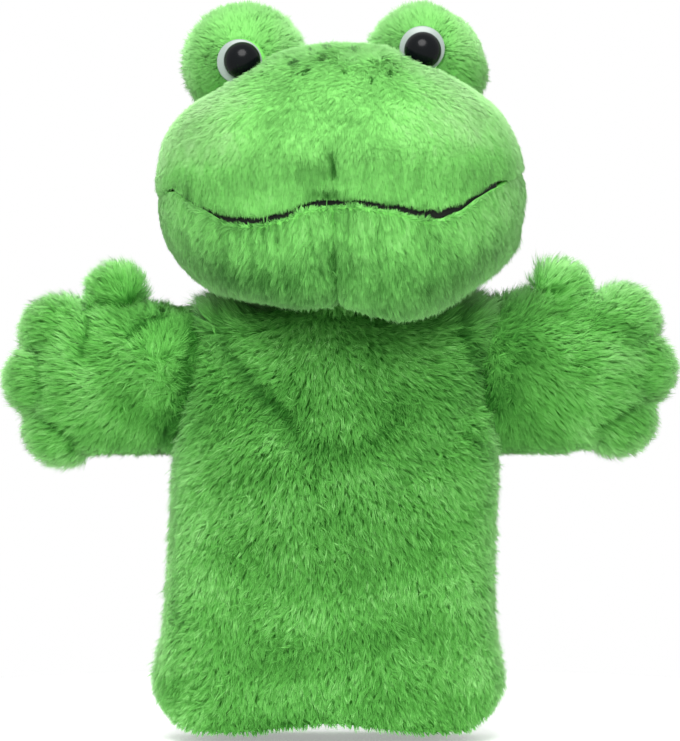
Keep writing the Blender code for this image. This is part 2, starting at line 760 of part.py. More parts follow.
def build_puppet():
    clear_scene()
    finishes = {
        "body_plush": finish("body_plush", BODY_GREEN, 0.95),
        "head_plush": finish("head_plush", HEAD_GREEN, 0.92),
        "lining": finish("lining", LINING_GREEN, 0.85),
        "filling": finish("filling", FILLING_WHITE, 1.0),
        "trim": finish("trim", TRIM_BLACK, 0.9),
        "eye_black": finish("eye_black", EYE_BLACK, 0.08),
        "eye_white": finish("eye_white", EYE_WHITE, 0.25),
        "washer": finish("washer", WASHER_WHITE, 0.45),
    }
    build_body(finishes)
    neck = empty("neck_pivot", (NECK_SHIFT, 0.0, NECK_HEIGHT))
    build_neck(finishes, neck)
    head = empty("head_pivot", (NECK_SHIFT, 0.0, NECK_HEIGHT), HEAD_ROLL, HEAD_TURN)
    crown = build_head(finishes, head)
    build_filling(finishes, head)
    levels = np.linspace(0, 1, 19)
    head_shape = loft("cut_head_shape", head_rings(-STITCH_GAP, levels, 48), None, head)
    for side in (-1, 1):
        build_eye(side, finishes, head, crown, head_shape)
        label = "left" if side < 0 else "right"
        shoulder = empty(label + "_shoulder_pivot", (side * SHOULDER_X, 0.0, SHOULDER_Z))
        build_arm(side, finishes, shoulder)


build_puppet()
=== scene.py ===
# %% [markdown]
# # A plush frog hand puppet
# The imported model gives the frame: its bodies, joints and sizes. This lesson dresses that frame. Every
# plush panel becomes a cloth skin a little below the pile's middle, and the pile itself is grown on it as
# fine blades.

import math
from types import SimpleNamespace

import bpy
import numpy as np
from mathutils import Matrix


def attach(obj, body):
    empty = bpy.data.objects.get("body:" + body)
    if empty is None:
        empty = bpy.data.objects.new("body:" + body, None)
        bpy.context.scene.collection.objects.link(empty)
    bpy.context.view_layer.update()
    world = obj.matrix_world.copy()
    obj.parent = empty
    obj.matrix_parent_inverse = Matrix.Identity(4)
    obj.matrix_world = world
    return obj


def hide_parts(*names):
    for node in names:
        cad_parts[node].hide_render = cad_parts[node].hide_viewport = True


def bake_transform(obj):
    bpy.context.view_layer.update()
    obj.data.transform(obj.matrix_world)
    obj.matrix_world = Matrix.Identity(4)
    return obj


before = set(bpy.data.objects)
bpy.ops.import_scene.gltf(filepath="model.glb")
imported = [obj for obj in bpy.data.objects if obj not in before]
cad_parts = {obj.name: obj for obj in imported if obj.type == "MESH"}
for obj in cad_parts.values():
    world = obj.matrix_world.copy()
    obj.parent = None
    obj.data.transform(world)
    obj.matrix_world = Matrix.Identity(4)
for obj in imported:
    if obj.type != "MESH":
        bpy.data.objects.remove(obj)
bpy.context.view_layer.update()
rng = np.random.default_rng(11)
SHARE_GROWN = 1.0

# %% [markdown]
# ## Camera
# The photo looks straight at the puppet from a long way off. One pixel is 0.34 mm at the puppet's middle,
# so the picture is 252 mm tall there.

# %% Camera
scene = bpy.context.scene
scene.view_settings.view_transform = "Standard"
PICTURE_HEIGHT, PIXELS = 0.25194, 741
PICTURE_CENTRE = (340.0, 370.5)
DISTANCE = 1.4
MIDDLE = (0.0, 0.0, 0.1253)
ELEVATION = math.radians(1.5)
lens = bpy.data.cameras.new("photo_camera")
lens.sensor_width = 36.0
lens.lens = lens.sensor_width * DISTANCE / PICTURE_HEIGHT
camera = bpy.data.objects.new("photo_camera", lens)
camera.location = (0.0, -DISTANCE * math.cos(ELEVATION), MIDDLE[2] + DISTANCE * math.sin(ELEVATION))
camera.rotation_euler = (math.pi / 2 - ELEVATION, 0.0, 0.0)
scene.collection.objects.link(camera)
scene.camera = camera
print("lens", round(lens.lens, 1), "mm")

# %% [markdown]
# ## Where a point shows in the photo
# Some soft shadows of the cloth were read off the photo, so their places are written as its pixels. This
# sum follows the camera and gives the pixel at which a point of the puppet shows, so a shadow finds its
# blades.


# %% Where a point shows in the photo
def seen_at(points):
    """Pixel column and row at which points show in the photo."""
    rise = points[:, 2] - MIDDLE[2]
    across = DISTANCE + points[:, 1] * math.cos(ELEVATION) - rise * math.sin(ELEVATION)
    upward = rise * math.cos(ELEVATION) + points[:, 1] * math.sin(ELEVATION)
    scale = PIXELS * DISTANCE / (PICTURE_HEIGHT * across)
    return PICTURE_CENTRE[0] + points[:, 0] * scale, PICTURE_CENTRE[1] - upward * scale


column, row = seen_at(np.array([MIDDLE]))
print("the puppet's middle shows at pixel", column.round(1), row.round(1))

# %% [markdown]
# ## Lamps
# The photo has broad, soft light from above and in front. A large round lamp there gives the soft shade
# under the chin and the arms, and a weak one low in front fills it. Small lamps would draw hard edges on
# the pile.


# %% Lamps
def lamp(name, place, size, watts, aim=(0.0, 0.0, 0.13)):
    """A round soft lamp that faces a point."""
    data = bpy.data.lights.new(name, "AREA")
    data.energy = watts
    data.size = size
    data.shape = "DISK"
    obj = bpy.data.objects.new(name, data)
    obj.location = place
    run = np.array(aim) - np.array(place)
    flat = math.hypot(run[0], run[1])
    obj.rotation_euler = (math.atan2(flat, -run[2]), 0.0, math.atan2(run[1], run[0]) - math.pi / 2)
    scene.collection.objects.link(obj)
    return obj


lamp("top_lamp", (-0.10, -1.00, 1.10), 0.9, 22.0)
lamp("front_lamp", (0.15, -1.6, 0.55), 1.0, 1.5).visible_glossy = False
print("two lamps lit")

# %% [markdown]
# ## White room
# The background is plain white. The world shows as white to the camera and to the rays that shiny and clear
# things send out. Cloth gets a softer light from it, which is weaker from below, as in a real room.

# %% White room
ROOM_LIGHT, FLOOR_LIGHT, SHOWN_WHITE = 0.85, 0.22, 1.0
LIGHT_FROM, LIGHT_TO = -0.6, 0.1
world = bpy.data.worlds.new("white_room")
scene.world = world
world.use_nodes = True
nodes, links = world.node_tree.nodes, world.node_tree.links
room = nodes["Background"]
path = nodes.new("ShaderNodeLightPath")
seen = path.outputs["Is Camera Ray"]
for ray in ("Is Glossy Ray", "Is Transmission Ray"):
    either = nodes.new("ShaderNodeMath")
    either.operation = "MAXIMUM"
    links.new(seen, either.inputs[0])
    links.new(path.outputs[ray], either.inputs[1])
    seen = either.outputs[0]
way = nodes.new("ShaderNodeTexCoord")
height = nodes.new("ShaderNodeSeparateXYZ")
links.new(way.outputs["Generated"], height.inputs[0])
fade = nodes.new("ShaderNodeMapRange")
fade.inputs["From Min"].default_value = LIGHT_FROM
fade.inputs["From Max"].default_value = LIGHT_TO
fade.inputs["To Min"].default_value = FLOOR_LIGHT
fade.inputs["To Max"].default_value = ROOM_LIGHT
links.new(height.outputs["Z"], fade.inputs["Value"])
level = nodes.new("ShaderNodeMapRange")
links.new(fade.outputs["Result"], level.inputs["To Min"])
level.inputs["To Max"].default_value = SHOWN_WHITE
links.new(seen, level.inputs["Value"])
links.new(level.outputs["Result"], room.inputs["Strength"])
room.inputs["Color"].default_value = (1.0, 1.0, 1.0, 1.0)
print("room light", ROOM_LIGHT, "from above and", FLOOR_LIGHT, "from below")

# %% [markdown]
# ## Floor
# The puppet stands on a white disc that takes its shadow. A little glow keeps the disc as white as the
# room.


# %% Floor
def plain(name, colour, roughness=0.9, sheen=0.0):
    """A material of one colour."""
    material = bpy.data.materials.new(name)
    material.use_nodes = True
    shader = material.node_tree.nodes["Principled BSDF"]
    shader.inputs["Base Color"].default_value = (*colour, 1.0)
    shader.inputs["Roughness"].default_value = roughness
    shader.inputs["Sheen Weight"].default_value = sheen
    return material


FLOOR_SIZE, FLOOR_Z, FLOOR_GLOW = 0.24, -0.0002, 0.35
bpy.ops.mesh.primitive_circle_add(vertices=96, radius=FLOOR_SIZE, fill_type="NGON", location=(0, 0, FLOOR_Z))
floor = bpy.context.object
floor.name = "floor"
floor_white = plain("floor_white", (0.93, 0.93, 0.93), 0.8)
floor_shader = floor_white.node_tree.nodes["Principled BSDF"]
floor_shader.inputs["Emission Color"].default_value = (1.0, 1.0, 1.0, 1.0)
floor_shader.inputs["Emission Strength"].default_value = FLOOR_GLOW
floor.data.materials.append(floor_white)
print("floor", 2 * FLOOR_SIZE, "m across")

# %% [markdown]
# ## Smooth lofts
# The puppet's soft forms are lofts: rounded ovals that change size up the body and up the head. They could
# be sculpted, but a short table of sections is easy to read and to change. The numbers repeat those of the
# solid model, in metres, so that looks and solids share one shape.

# %% Smooth lofts
PLUSH, SKIN = 0.0040, 0.0015


def read_sections(sections, along):
    """A loft's values at along, 0 at the first section and 1 at the last, on a smooth curve through all."""
    rows = np.asarray(sections)
    place = np.clip(along, 0.0, 1.0) * (len(rows) - 1)
    i = np.minimum(place.astype(int), len(rows) - 2)
    f = (place - i)[..., None]
    before, here = rows[np.maximum(i - 1, 0)], rows[i]
    there, after = rows[i + 1], rows[np.minimum(i + 2, len(rows) - 1)]
    bend = 2 * before - 5 * here + 4 * there - after
    twist = 3 * (here - there) + after - before
    return here + 0.5 * f * (there - before + f * (bend + f * twist))


def smooth_step(value, low, high):
    """A share from 0 at low to 1 at high that starts and ends gently."""
    share = np.clip((value - low) / (high - low), 0.0, 1.0)
    return share * share * (3.0 - 2.0 * share)


def unit(vectors):
    """Vectors made one long."""
    return vectors / np.maximum(np.linalg.norm(vectors, axis=-1, keepdims=True), 1e-12)


def oval(turn, width, front, back, power):
    """x and y on a rounded oval. turn is 0 at the front and a quarter turn on the +X side."""
    across, along = np.cos(turn), np.sin(turn)
    across = np.sign(across) * np.abs(across) ** (2 / power)
    along = np.sign(along) * np.abs(along) ** (2 / power)
    return width * along, -np.where(across > 0, front, back) * across


def sunk(surface, turn, along, depth):
    """Points of a surface moved in along its normal by depth."""
    step = 1e-3
    level = np.clip(along, step, 0.985)
    around = surface(turn + step, level) - surface(turn - step, level)
    upward = surface(turn, level + step) - surface(turn, level - step)
    normal = unit(np.cross(around, upward))
    return surface(turn, along) - normal * np.asarray(depth)[..., None]


print("plush", 1000 * PLUSH, "mm thick, its pile rooted", 1000 * SKIN, "mm under the solid's face")

# %% [markdown]
# ## The glove's shape
# The glove is a flattened tube, wide at the hem and drawn in at the shoulders, which leans a little to one
# side. Each row is a height, a half width, and how far the front and the back swell. Two creases press the
# chest in.

# %% The glove's shape
BODY_SECTIONS = (
    (0.0000, 0.0570, 0.0235, 0.0225),
    (0.0160, 0.0582, 0.0245, 0.0235),
    (0.0400, 0.0549, 0.0268, 0.0250),
    (0.0650, 0.0539, 0.0285, 0.0260),
    (0.0900, 0.0538, 0.0280, 0.0260),
    (0.1150, 0.0532, 0.0255, 0.0245),
    (0.1320, 0.0520, 0.0228, 0.0228),
    (0.1412, 0.0498, 0.0202, 0.0208),
    (0.1456, 0.0425, 0.0186, 0.0184),
    (0.1472, 0.0285, 0.0180, 0.0178),
)
BODY_ROUNDNESS = 3.0
HEM_SHIFT, NECK_SHIFT = -0.004, 0.002
CHEST_FOLDS = (
    ((-0.0425, 0.134), (-0.0136, 0.098)),
    ((0.0442, 0.115), (0.0204, 0.088)),
)
FOLD_DEPTH, FOLD_WIDTH = 0.0025, 0.0055


def fold_dip(x, z):
    """How far the chest's soft creases press the cloth in."""
    dip = np.zeros_like(x)
    for start, end in CHEST_FOLDS:
        start, end = np.array(start), np.array(end)
        run = end - start
        share = ((x - start[0]) * run[0] + (z - start[1]) * run[1]) / (run @ run)
        share = np.clip(share, 0.0, 1.0)
        away = np.hypot(x - start[0] - share * run[0], z - start[1] - share * run[1])
        dip = np.maximum(dip, FOLD_DEPTH * np.exp(-((away / FOLD_WIDTH) ** 2)))
    return dip


def body_shift(z):
    """How far the glove leans aside at a height."""
    return HEM_SHIFT + (NECK_SHIFT - HEM_SHIFT) * (z / BODY_SECTIONS[-1][0]) ** 2


def body_surface(turn, along):
    """Points of the glove, by the turn round it and the share of its height."""
    z, width, front, back = np.moveaxis(read_sections(BODY_SECTIONS, along), -1, 0)
    x, y = oval(turn, width, front, back, BODY_ROUNDNESS)
    x = x + body_shift(z)
    y = y + np.where(np.cos(turn) > 0, fold_dip(x, z), 0.0)
    return np.stack([x, y, z + 0 * x], axis=-1)


print(len(BODY_SECTIONS), "sections up the glove")

# %% [markdown]
# ## The head's shape
# The head is one swelling form. Its rows also hold how far the front hangs down, because the chin droops in
# front of the neck, more on one side and less in the middle. The whole head was sewn on with a slight lean
# and turn.

# %% The head's shape
HEAD_SECTIONS = (
    (0.1550, 0.0280, 0.0190, 0.0190, 0.0000),
    (0.1545, 0.0405, 0.0390, 0.0280, 0.0100),
    (0.1595, 0.0518, 0.0490, 0.0360, 0.0080),
    (0.1710, 0.0602, 0.0512, 0.0400, 0.0030),
    (0.1850, 0.0626, 0.0528, 0.0415, 0.0000),
    (0.1990, 0.0612, 0.0550, 0.0415, 0.0000),
    (0.2130, 0.0540, 0.0465, 0.0390, 0.0000),
    (0.2248, 0.0372, 0.0330, 0.0315, 0.0000),
    (0.2335, 0.0195, 0.0160, 0.0185, 0.0000),
    (0.2365, 0.0000, 0.0000, 0.0000, 0.0000),
)
HEAD_ROUNDNESS = 2.25
DIP_SHARPNESS, DIP_NOTCH, DIP_NOTCH_WIDTH, DIP_SAG = 1.5, 0.30, math.radians(13.0), 0.42
HEAD_ROLL, HEAD_TURN = math.radians(-3.0), math.radians(-3.5)
NECK_PIVOT = np.array((NECK_SHIFT, 0.0, 0.151))


def head_surface(turn, along):
    """Points of the upright head, by the turn round it and the share of its height."""
    z, width, front, back, dip = np.moveaxis(np.maximum(read_sections(HEAD_SECTIONS, along), 0), -1, 0)
    x, y = oval(turn, width, front, back, HEAD_ROUNDNESS)
    turn = (turn + math.pi) % (2 * math.pi) - math.pi
    notch = DIP_NOTCH * np.exp(-((turn / DIP_NOTCH_WIDTH) ** 2))
    z = z - dip * np.maximum(np.cos(turn), 0) ** DIP_SHARPNESS * (1 - notch + DIP_SAG * np.sin(2 * turn))
    return np.stack([x + NECK_SHIFT, y, z + 0 * x], axis=-1)


def tipped(points):
    """The upright head leaned and turned about the neck, as it was sewn."""
    c, s = math.cos(HEAD_ROLL), math.sin(HEAD_ROLL)
    roll = np.array([[c, 0, s], [0, 1, 0], [-s, 0, c]])
    c, s = math.cos(HEAD_TURN), math.sin(HEAD_TURN)
    turn = np.array([[c, -s, 0], [s, c, 0], [0, 0, 1]])
    return (points - NECK_PIVOT) @ (turn @ roll).T + NECK_PIVOT


print("head top", head_surface(np.zeros(1), np.ones(1)).round(4))

# %% [markdown]
# ## The mouth seam
# The crown ends at a wavy line that dips beside the middle, lifts at the corners and rises behind the
# cheeks to the back seam. It is found on the surface by looking up each line of the loft for the height
# that it has there.

# %% The mouth seam
MOUTH_MIDDLE, MOUTH_DIP, MOUTH_DIP_PITCH = 0.183, 0.004, 0.060
MOUTH_CORNER_LIFT, MOUTH_CORNER, MOUTH_STRETCH = 0.006, 0.055, 0.875
MOUTH_END, SIDE_SEAM = math.radians(80.0), math.radians(100.0)
STRIP_END, SEAM_CLOSED = math.radians(60.0), math.radians(70.0)
BACK_SEAM, HEAD_RISE = 0.215, 0.125


def mouth_height(x):
    """Height of the mouth line at a distance from the middle."""
    wave = MOUTH_DIP * np.sin(math.pi * x / MOUTH_DIP_PITCH) ** 2
    return MOUTH_MIDDLE - wave + MOUTH_CORNER_LIFT * (x / MOUTH_CORNER) ** 6


def seam_along(turn):
    """Where on the head the crown ends: at the mouth in front, and past the cheeks at the back seam."""
    turn = (turn + math.pi) % (2 * math.pi) - math.pi
    levels = np.linspace(0.15, 0.95, 161)
    found = np.empty(len(turn))
    for i, angle in enumerate(turn):
        points = head_surface(np.full(levels.shape, angle), levels)
        backward = smooth_step(abs(angle), MOUTH_END, math.pi)
        reach = points[:, 0] - NECK_SHIFT
        reach = np.minimum(np.maximum(-reach, MOUTH_STRETCH * reach), MOUTH_CORNER)
        target = mouth_height(reach) * (1 - backward) + BACK_SEAM * backward
        found[i] = np.interp(0.0, points[:, 2] - target, levels)
    return found


print("mouth at", seam_along(np.zeros(1)).round(3), "of the head's sections")

# %% [markdown]
# ## The paws' shape
# A paw is a flat mitten with a thumb and three toes. A forearm and four round lobes each swell from their
# outline, and a soft maximum runs them together, which leaves creases between the toes as sewn and stuffed
# cloth has. Each lobe is a place, a radius and a depth.

# %% The paws' shape
ARM_Z, ARM_HEIGHT, ARM_DEPTH = 0.1225, 0.0250, 0.0165
SHOULDER_X, SHOULDER_Z = 0.058, 0.120
CUFF_TOP_X, CUFF_SLANT = 0.0630, 0.27
PALM_X, PALM_LENGTH = 0.083, 0.022
PAW_CENTRE = (0.088, 0.1225)
PAW_LOBES = (
    (0.0755, 0.1512, 0.0095, 0.0080),
    (0.0950, 0.1383, 0.0118, 0.0105),
    (0.1005, 0.1225, 0.0118, 0.0110),
    (0.0935, 0.1068, 0.0122, 0.0105),
)
PAW_LIFT, PAW_BEND = {-1: -0.0005, 1: 0.0034}, (0.066, 0.098)
THUMB_LEAN, THUMB_BEND = {-1: 0.0, 1: -0.0018}, (0.148, 0.158)
LOBE_BLEND = 6.0


def cuff_x(z):
    """Where the slanting cuff seam lies at a height."""
    return CUFF_TOP_X + CUFF_SLANT * (ARM_Z + ARM_HEIGHT - z)


def paw_shares(x, z, shrink):
    """For the forearm and each lobe: how much of its oval is left at (x, z), and its depth."""
    beyond = np.maximum(x - PALM_X, 0.0)
    left = 1 - ((z - ARM_Z) / (ARM_HEIGHT - shrink)) ** 2 - (beyond / (PALM_LENGTH - shrink)) ** 2
    shares = [(left, ARM_DEPTH - shrink)]
    for lobe_x, lobe_z, radius, depth in PAW_LOBES:
        left = 1 - ((x - lobe_x) ** 2 + (z - lobe_z) ** 2) / (radius - shrink) ** 2
        shares.append((left, depth - shrink))
    return shares


def paw_height(x, z, shrink):
    """How far a paw swells forward at (x, z), its lobes run together."""
    total = 0.0
    for left, depth in paw_shares(x, z, shrink):
        total = total + (depth * np.sqrt(np.maximum(left, 0.0))) ** LOBE_BLEND
    return total ** (1 / LOBE_BLEND)


def paw_grid(side, face, shrink, rings, count):
    """Points over a paw's front (face -1) or back (face 1), from its outline to its centre."""
    angle = np.linspace(0, 2 * math.pi, count)
    near, far = np.zeros_like(angle), np.full_like(angle, 0.06)
    for _ in range(40):
        middle = 0.5 * (near + far)
        x, z = PAW_CENTRE[0] + middle * np.cos(angle), PAW_CENTRE[1] + middle * np.sin(angle)
        inside = np.max([left for left, depth in paw_shares(x, z, shrink)], axis=0) > 0
        inside &= x >= cuff_x(z)
        near, far = np.where(inside, middle, near), np.where(inside, far, middle)
    share = np.sin(np.linspace(math.pi / 2, 0, rings))[:, None]
    x = PAW_CENTRE[0] + share * near * np.cos(angle)
    z = PAW_CENTRE[1] + share * near * np.sin(angle)
    swell = face * np.maximum(paw_height(x, z, shrink), 0.0002)
    lift = PAW_LIFT[side] * smooth_step(x, *PAW_BEND)
    lean = THUMB_LEAN[side] * smooth_step(z, *THUMB_BEND)
    return np.stack([side * (x + lean), swell, z + lift], axis=-1)


print(len(PAW_LOBES), "lobes on each paw")

# %% [markdown]
# ## Pile colour
# The pile's colour reads two numbers kept on every blade: its tone, which was drawn when it grew, and how
# far along it a point is. Roots are darker than tips because little light gets down between them. Two
# materials use this, so it is a node group that each of them fills with its own colours.

# %% Pile colour
FIRST_COLOUR, SECOND_COLOUR, MIXED_COLOUR = 6, 7, 2


def pile_group():
    """A shader group that turns tone and place along a blade into its colour."""
    group = bpy.data.node_groups.new("pile_colour", "ShaderNodeTree")
    for name in ("Dark", "Middle", "Light", "Root"):
        group.interface.new_socket(name, in_out="INPUT", socket_type="NodeSocketColor")
    group.interface.new_socket("Colour", in_out="OUTPUT", socket_type="NodeSocketColor")
    nodes, links = group.nodes, group.links
    given, result = nodes.new("NodeGroupInput"), nodes.new("NodeGroupOutput")
    place = nodes.new("ShaderNodeUVMap")
    place.uv_map = "OFBake"
    parts = nodes.new("ShaderNodeSeparateXYZ")
    links.new(place.outputs["UV"], parts.inputs[0])

    def mix(factor, low, high, first, second):
        share = nodes.new("ShaderNodeMapRange")
        share.inputs["From Min"].default_value = low
        share.inputs["From Max"].default_value = high
        links.new(factor, share.inputs["Value"])
        blend = nodes.new("ShaderNodeMix")
        blend.data_type = "RGBA"
        links.new(share.outputs["Result"], blend.inputs["Factor"])
        links.new(first, blend.inputs[FIRST_COLOUR])
        links.new(second, blend.inputs[SECOND_COLOUR])
        return blend.outputs[MIXED_COLOUR]

    lower = mix(parts.outputs["X"], 0.0, 0.5, given.outputs["Dark"], given.outputs["Middle"])
    tone = mix(parts.outputs["X"], 0.5, 1.0, lower, given.outputs["Light"])
    white = nodes.new("ShaderNodeRGB")
    white.outputs[0].default_value = (1.0, 1.0, 1.0, 1.0)
    depth = mix(parts.outputs["Y"], 0.0, 0.8, given.outputs["Root"], white.outputs[0])
    shade = nodes.new("ShaderNodeVectorMath")
    shade.operation = "MULTIPLY"
    links.new(tone, shade.inputs[0])
    links.new(depth, shade.inputs[1])
    links.new(shade.outputs[0], result.inputs["Colour"])
    return group


PILE = pile_group()
print("pile colour group with", len(PILE.nodes), "nodes")

# %% [markdown]
# ## Pile materials
# The body and the head are the same kind of plush in two greens: matt blades with a soft sheen on a plain
# skin. A blade's back is lit like its front, because a thin hair has no dark side: its normal is turned
# round there.

# %% Pile materials
PILE_ROUGHNESS, PILE_SHINE, PILE_SHEEN = 0.85, 0.15, 0.7
SHEEN_ROUGHNESS, SHEEN_TINT = 0.45, (0.55, 1.0, 0.45, 1.0)


def pile_material(name, dark, middle, light, root):
    """A plush of three tones, with the colour that multiplies it down at the roots."""
    material = plain(name, middle, PILE_ROUGHNESS, PILE_SHEEN)
    nodes, links = material.node_tree.nodes, material.node_tree.links
    colour = nodes.new("ShaderNodeGroup")
    colour.node_tree = PILE
    for socket_name, value in (("Dark", dark), ("Middle", middle), ("Light", light), ("Root", root)):
        colour.inputs[socket_name].default_value = (*value, 1.0)
    shader = nodes["Principled BSDF"]
    links.new(colour.outputs["Colour"], shader.inputs["Base Color"])
    facing = nodes.new("ShaderNodeNewGeometry")
    flip = nodes.new("ShaderNodeMath")
    flip.operation = "MULTIPLY_ADD"
    flip.inputs[1].default_value = -2.0
    flip.inputs[2].default_value = 1.0
    links.new(facing.outputs["Backfacing"], flip.inputs[0])
    outward = nodes.new("ShaderNodeVectorMath")
    outward.operation = "SCALE"
    links.new(facing.outputs["Normal"], outward.inputs[0])
    links.new(flip.outputs[0], outward.inputs["Scale"])
    links.new(outward.outputs[0], shader.inputs["Normal"])
    shader.inputs["Specular IOR Level"].default_value = PILE_SHINE
    shader.inputs["Sheen Roughness"].default_value = SHEEN_ROUGHNESS
    shader.inputs["Sheen Tint"].default_value = SHEEN_TINT
    return material


BODY_PILE = pile_material(
    "body_pile", (0.016, 0.140, 0.008), (0.142, 0.500, 0.086), (0.400, 0.880, 0.290), (0.42, 0.70, 0.38)
)
HEAD_PILE = pile_material(
    "head_pile", (0.020, 0.130, 0.012), (0.275, 0.790, 0.185), (0.560, 0.970, 0.430), (0.90, 1.00, 0.88)
)
BODY_CLOTH = plain("body_cloth", (0.040, 0.230, 0.024))
HEAD_CLOTH = plain("head_cloth", (0.200, 0.680, 0.120))
print("pile in", BODY_PILE.name, "and", HEAD_PILE.name)

# %% [markdown]
# ## Panels
# A plush panel is a cloth with some thickness, sewn to its neighbours. Here it is two grids of points,
# closed round their edges, which keeps every edge where the pattern has it. The outer grid lies a little
# under the solid's face, which is about where the pile is rooted.


# %% Panels
def mesh_object(name, points, faces, material):
    """A smooth-shaded piece from points and faces."""
    mesh = bpy.data.meshes.new(name)
    mesh.from_pydata(np.asarray(points).tolist(), [], faces)
    mesh.validate()
    mesh.shade_smooth()
    mesh.materials.append(material)
    obj = bpy.data.objects.new(name, mesh)
    scene.collection.objects.link(obj)
    return obj


def panel(name, outer, inner, material, wrap=False):
    """A closed panel between two grids. wrap means that the last column lies on the first."""
    rows, columns = outer.shape[:2]
    points = np.concatenate([outer.reshape(-1, 3), inner.reshape(-1, 3)])
    number = np.arange(rows * columns).reshape(rows, columns)
    if wrap:
        number[:, -1] = number[:, 0]
    below = number + rows * columns

    def strip(a, b):
        return np.stack([a[:-1], a[1:], b[1:], b[:-1]], axis=-1).reshape(-1, 4)

    quads = [strip(number[i], number[i + 1]) for i in range(rows - 1)]
    quads += [strip(below[i + 1], below[i]) for i in range(rows - 1)]
    quads += [strip(below[0], number[0]), strip(number[-1], below[-1])]
    if not wrap:
        quads += [strip(number[:, 0], below[:, 0]), strip(below[:, -1], number[:, -1])]
    faces = [list(dict.fromkeys(quad)) for quad in np.concatenate(quads).tolist()]
    return mesh_object(name, points, [face for face in faces if len(face) > 2], material)


def shares(rows, columns):
    """Two grids of shares from 0 to 1: up the rows and across the columns."""
    return np.meshgrid(np.linspace(0, 1, rows), np.linspace(0, 1, columns), indexing="ij")


print("panels are", round(1000 * (PLUSH - SKIN), 1), "mm of cloth")

# %% [markdown]
# ## Roots of the pile
# Pile is woven into its cloth, so its roots cover a panel evenly. Blender's hair could grow it, but blades
# made as plain mesh keep their shape in the export. Roots are drawn by area, with their distance from each
# seam.

# %% Roots of the pile
RIPPLE_WAVES, RIPPLE_LEVEL = 7, 2.6


def ripple(places, size, seed):
    """A smooth random number from about -1 to 1 at each place, that changes over a distance of size."""
    draw = np.random.default_rng(seed)
    total = np.zeros(len(places))
    for _ in range(RIPPLE_WAVES):
        wave = unit(draw.normal(size=3)) * 2 * math.pi / (size * draw.uniform(0.7, 1.5))
        total += np.sin(places @ wave + draw.uniform(0, 2 * math.pi))
    return total / RIPPLE_LEVEL


def spread(grid, per_mm2, outward):
    """Random roots over a grid of points: places, normals, and distances to the grid's four edges."""
    a, b, c, d = grid[:-1, :-1], grid[:-1, 1:], grid[1:, 1:], grid[1:, :-1]
    area = 0.5 * np.linalg.norm(np.cross(c - a, d - b), axis=-1)
    count = int(area.sum() * 1e6 * per_mm2 * SHARE_GROWN)
    pick = np.searchsorted(np.cumsum(area.ravel()) / area.sum(), rng.random(count))
    i, j = np.unravel_index(np.minimum(pick, area.size - 1), area.shape)
    s, t = rng.random((2, count, 1))
    around, upward = np.gradient(grid, axis=1), np.gradient(grid, axis=0)
    normal = unit(np.cross(around, upward)) * outward
    up_step = np.linalg.norm(np.diff(grid, axis=0), axis=-1)
    side_step = np.linalg.norm(np.diff(grid, axis=1), axis=-1)
    up_run = np.cumsum(np.concatenate([np.zeros((1, grid.shape[1])), up_step]), axis=0)
    side_run = np.cumsum(np.concatenate([np.zeros((grid.shape[0], 1)), side_step], axis=1), axis=1)
    edges = [up_run, up_run[-1:] - up_run, side_run, side_run[:, -1:] - side_run]

    def between(values):
        values = values.reshape(*grid.shape[:2], -1)
        low = values[i, j] * (1 - t) + values[i, j + 1] * t
        high = values[i + 1, j] * (1 - t) + values[i + 1, j + 1] * t
        return low * (1 - s) + high * s

    return {
        "place": between(grid),
        "normal": unit(between(normal)),
        "edge": [between(edge)[:, 0] for edge in edges],
    }


def keep_roots(roots, keep):
    """Only those roots for which keep is true."""
    return {
        "place": roots["place"][keep],
        "normal": roots["normal"][keep],
        "edge": [edge[keep] for edge in roots["edge"]],
    }


print("share of the pile grown:", SHARE_GROWN)

# %% [markdown]
# ## Blades
# A hair of the plush is far too fine to model each one, so a blade stands for a few: a strip that bends
# once and ends in a point. Its tone and the place along it are kept in the map that the pile's colour
# reads.

# %% Blades
MIDWAY = 0.6
TRIANGLES = np.array([(0, 1, 3), (0, 3, 2), (2, 3, 4)])
ALONG = np.array((0.0, 0.0, MIDWAY, MIDWAY, 1.0))


def blades(name, points, tone, shading, material):
    """One mesh of many blades, with their tone and place along them kept as its OFBake map."""
    count = len(points)
    corner = (TRIANGLES[None] + len(ALONG) * np.arange(count)[:, None, None]).ravel()
    mesh = bpy.data.meshes.new(name)
    mesh.vertices.add(len(ALONG) * count)
    mesh.vertices.foreach_set("co", points.astype(np.float32).ravel())
    mesh.loops.add(len(corner))
    mesh.loops.foreach_set("vertex_index", corner.astype(np.int32))
    mesh.polygons.add(len(TRIANGLES) * count)
    mesh.polygons.foreach_set("loop_start", np.arange(0, len(corner), 3, dtype=np.int32))
    mesh.update(calc_edges=True)
    mesh.validate()
    kept = np.stack([np.repeat(tone, len(ALONG)), np.tile(ALONG, count)], axis=-1)
    layer = mesh.uv_layers.new(name="OFBake")
    layer.data.foreach_set("uv", kept[corner].astype(np.float32).ravel())
    mesh.shade_smooth()
    facing = mesh.attributes.new("custom_normal", "FLOAT_VECTOR", "POINT")
    facing.data.foreach_set("vector", np.repeat(shading, len(ALONG), axis=0).astype(np.float32).ravel())
    mesh.materials.append(material)
    obj = bpy.data.objects.new(name, mesh)
    scene.collection.objects.link(obj)
    return obj


print("blades have", len(TRIANGLES), "triangles each")

# %% [markdown]
# ## Growing the pile
# Each blade rises from its root, bends over the way the pile was brushed and leans towards the rest of its
# tuft, so that the pile shows small crimped tufts as the photo does. Long panels are cut into pieces, since
# a piece with too many blades would be thinned out by the export. A plush's tufts are given by their size,
# how wildly they lie, how far their blades gather and how mottled they are.

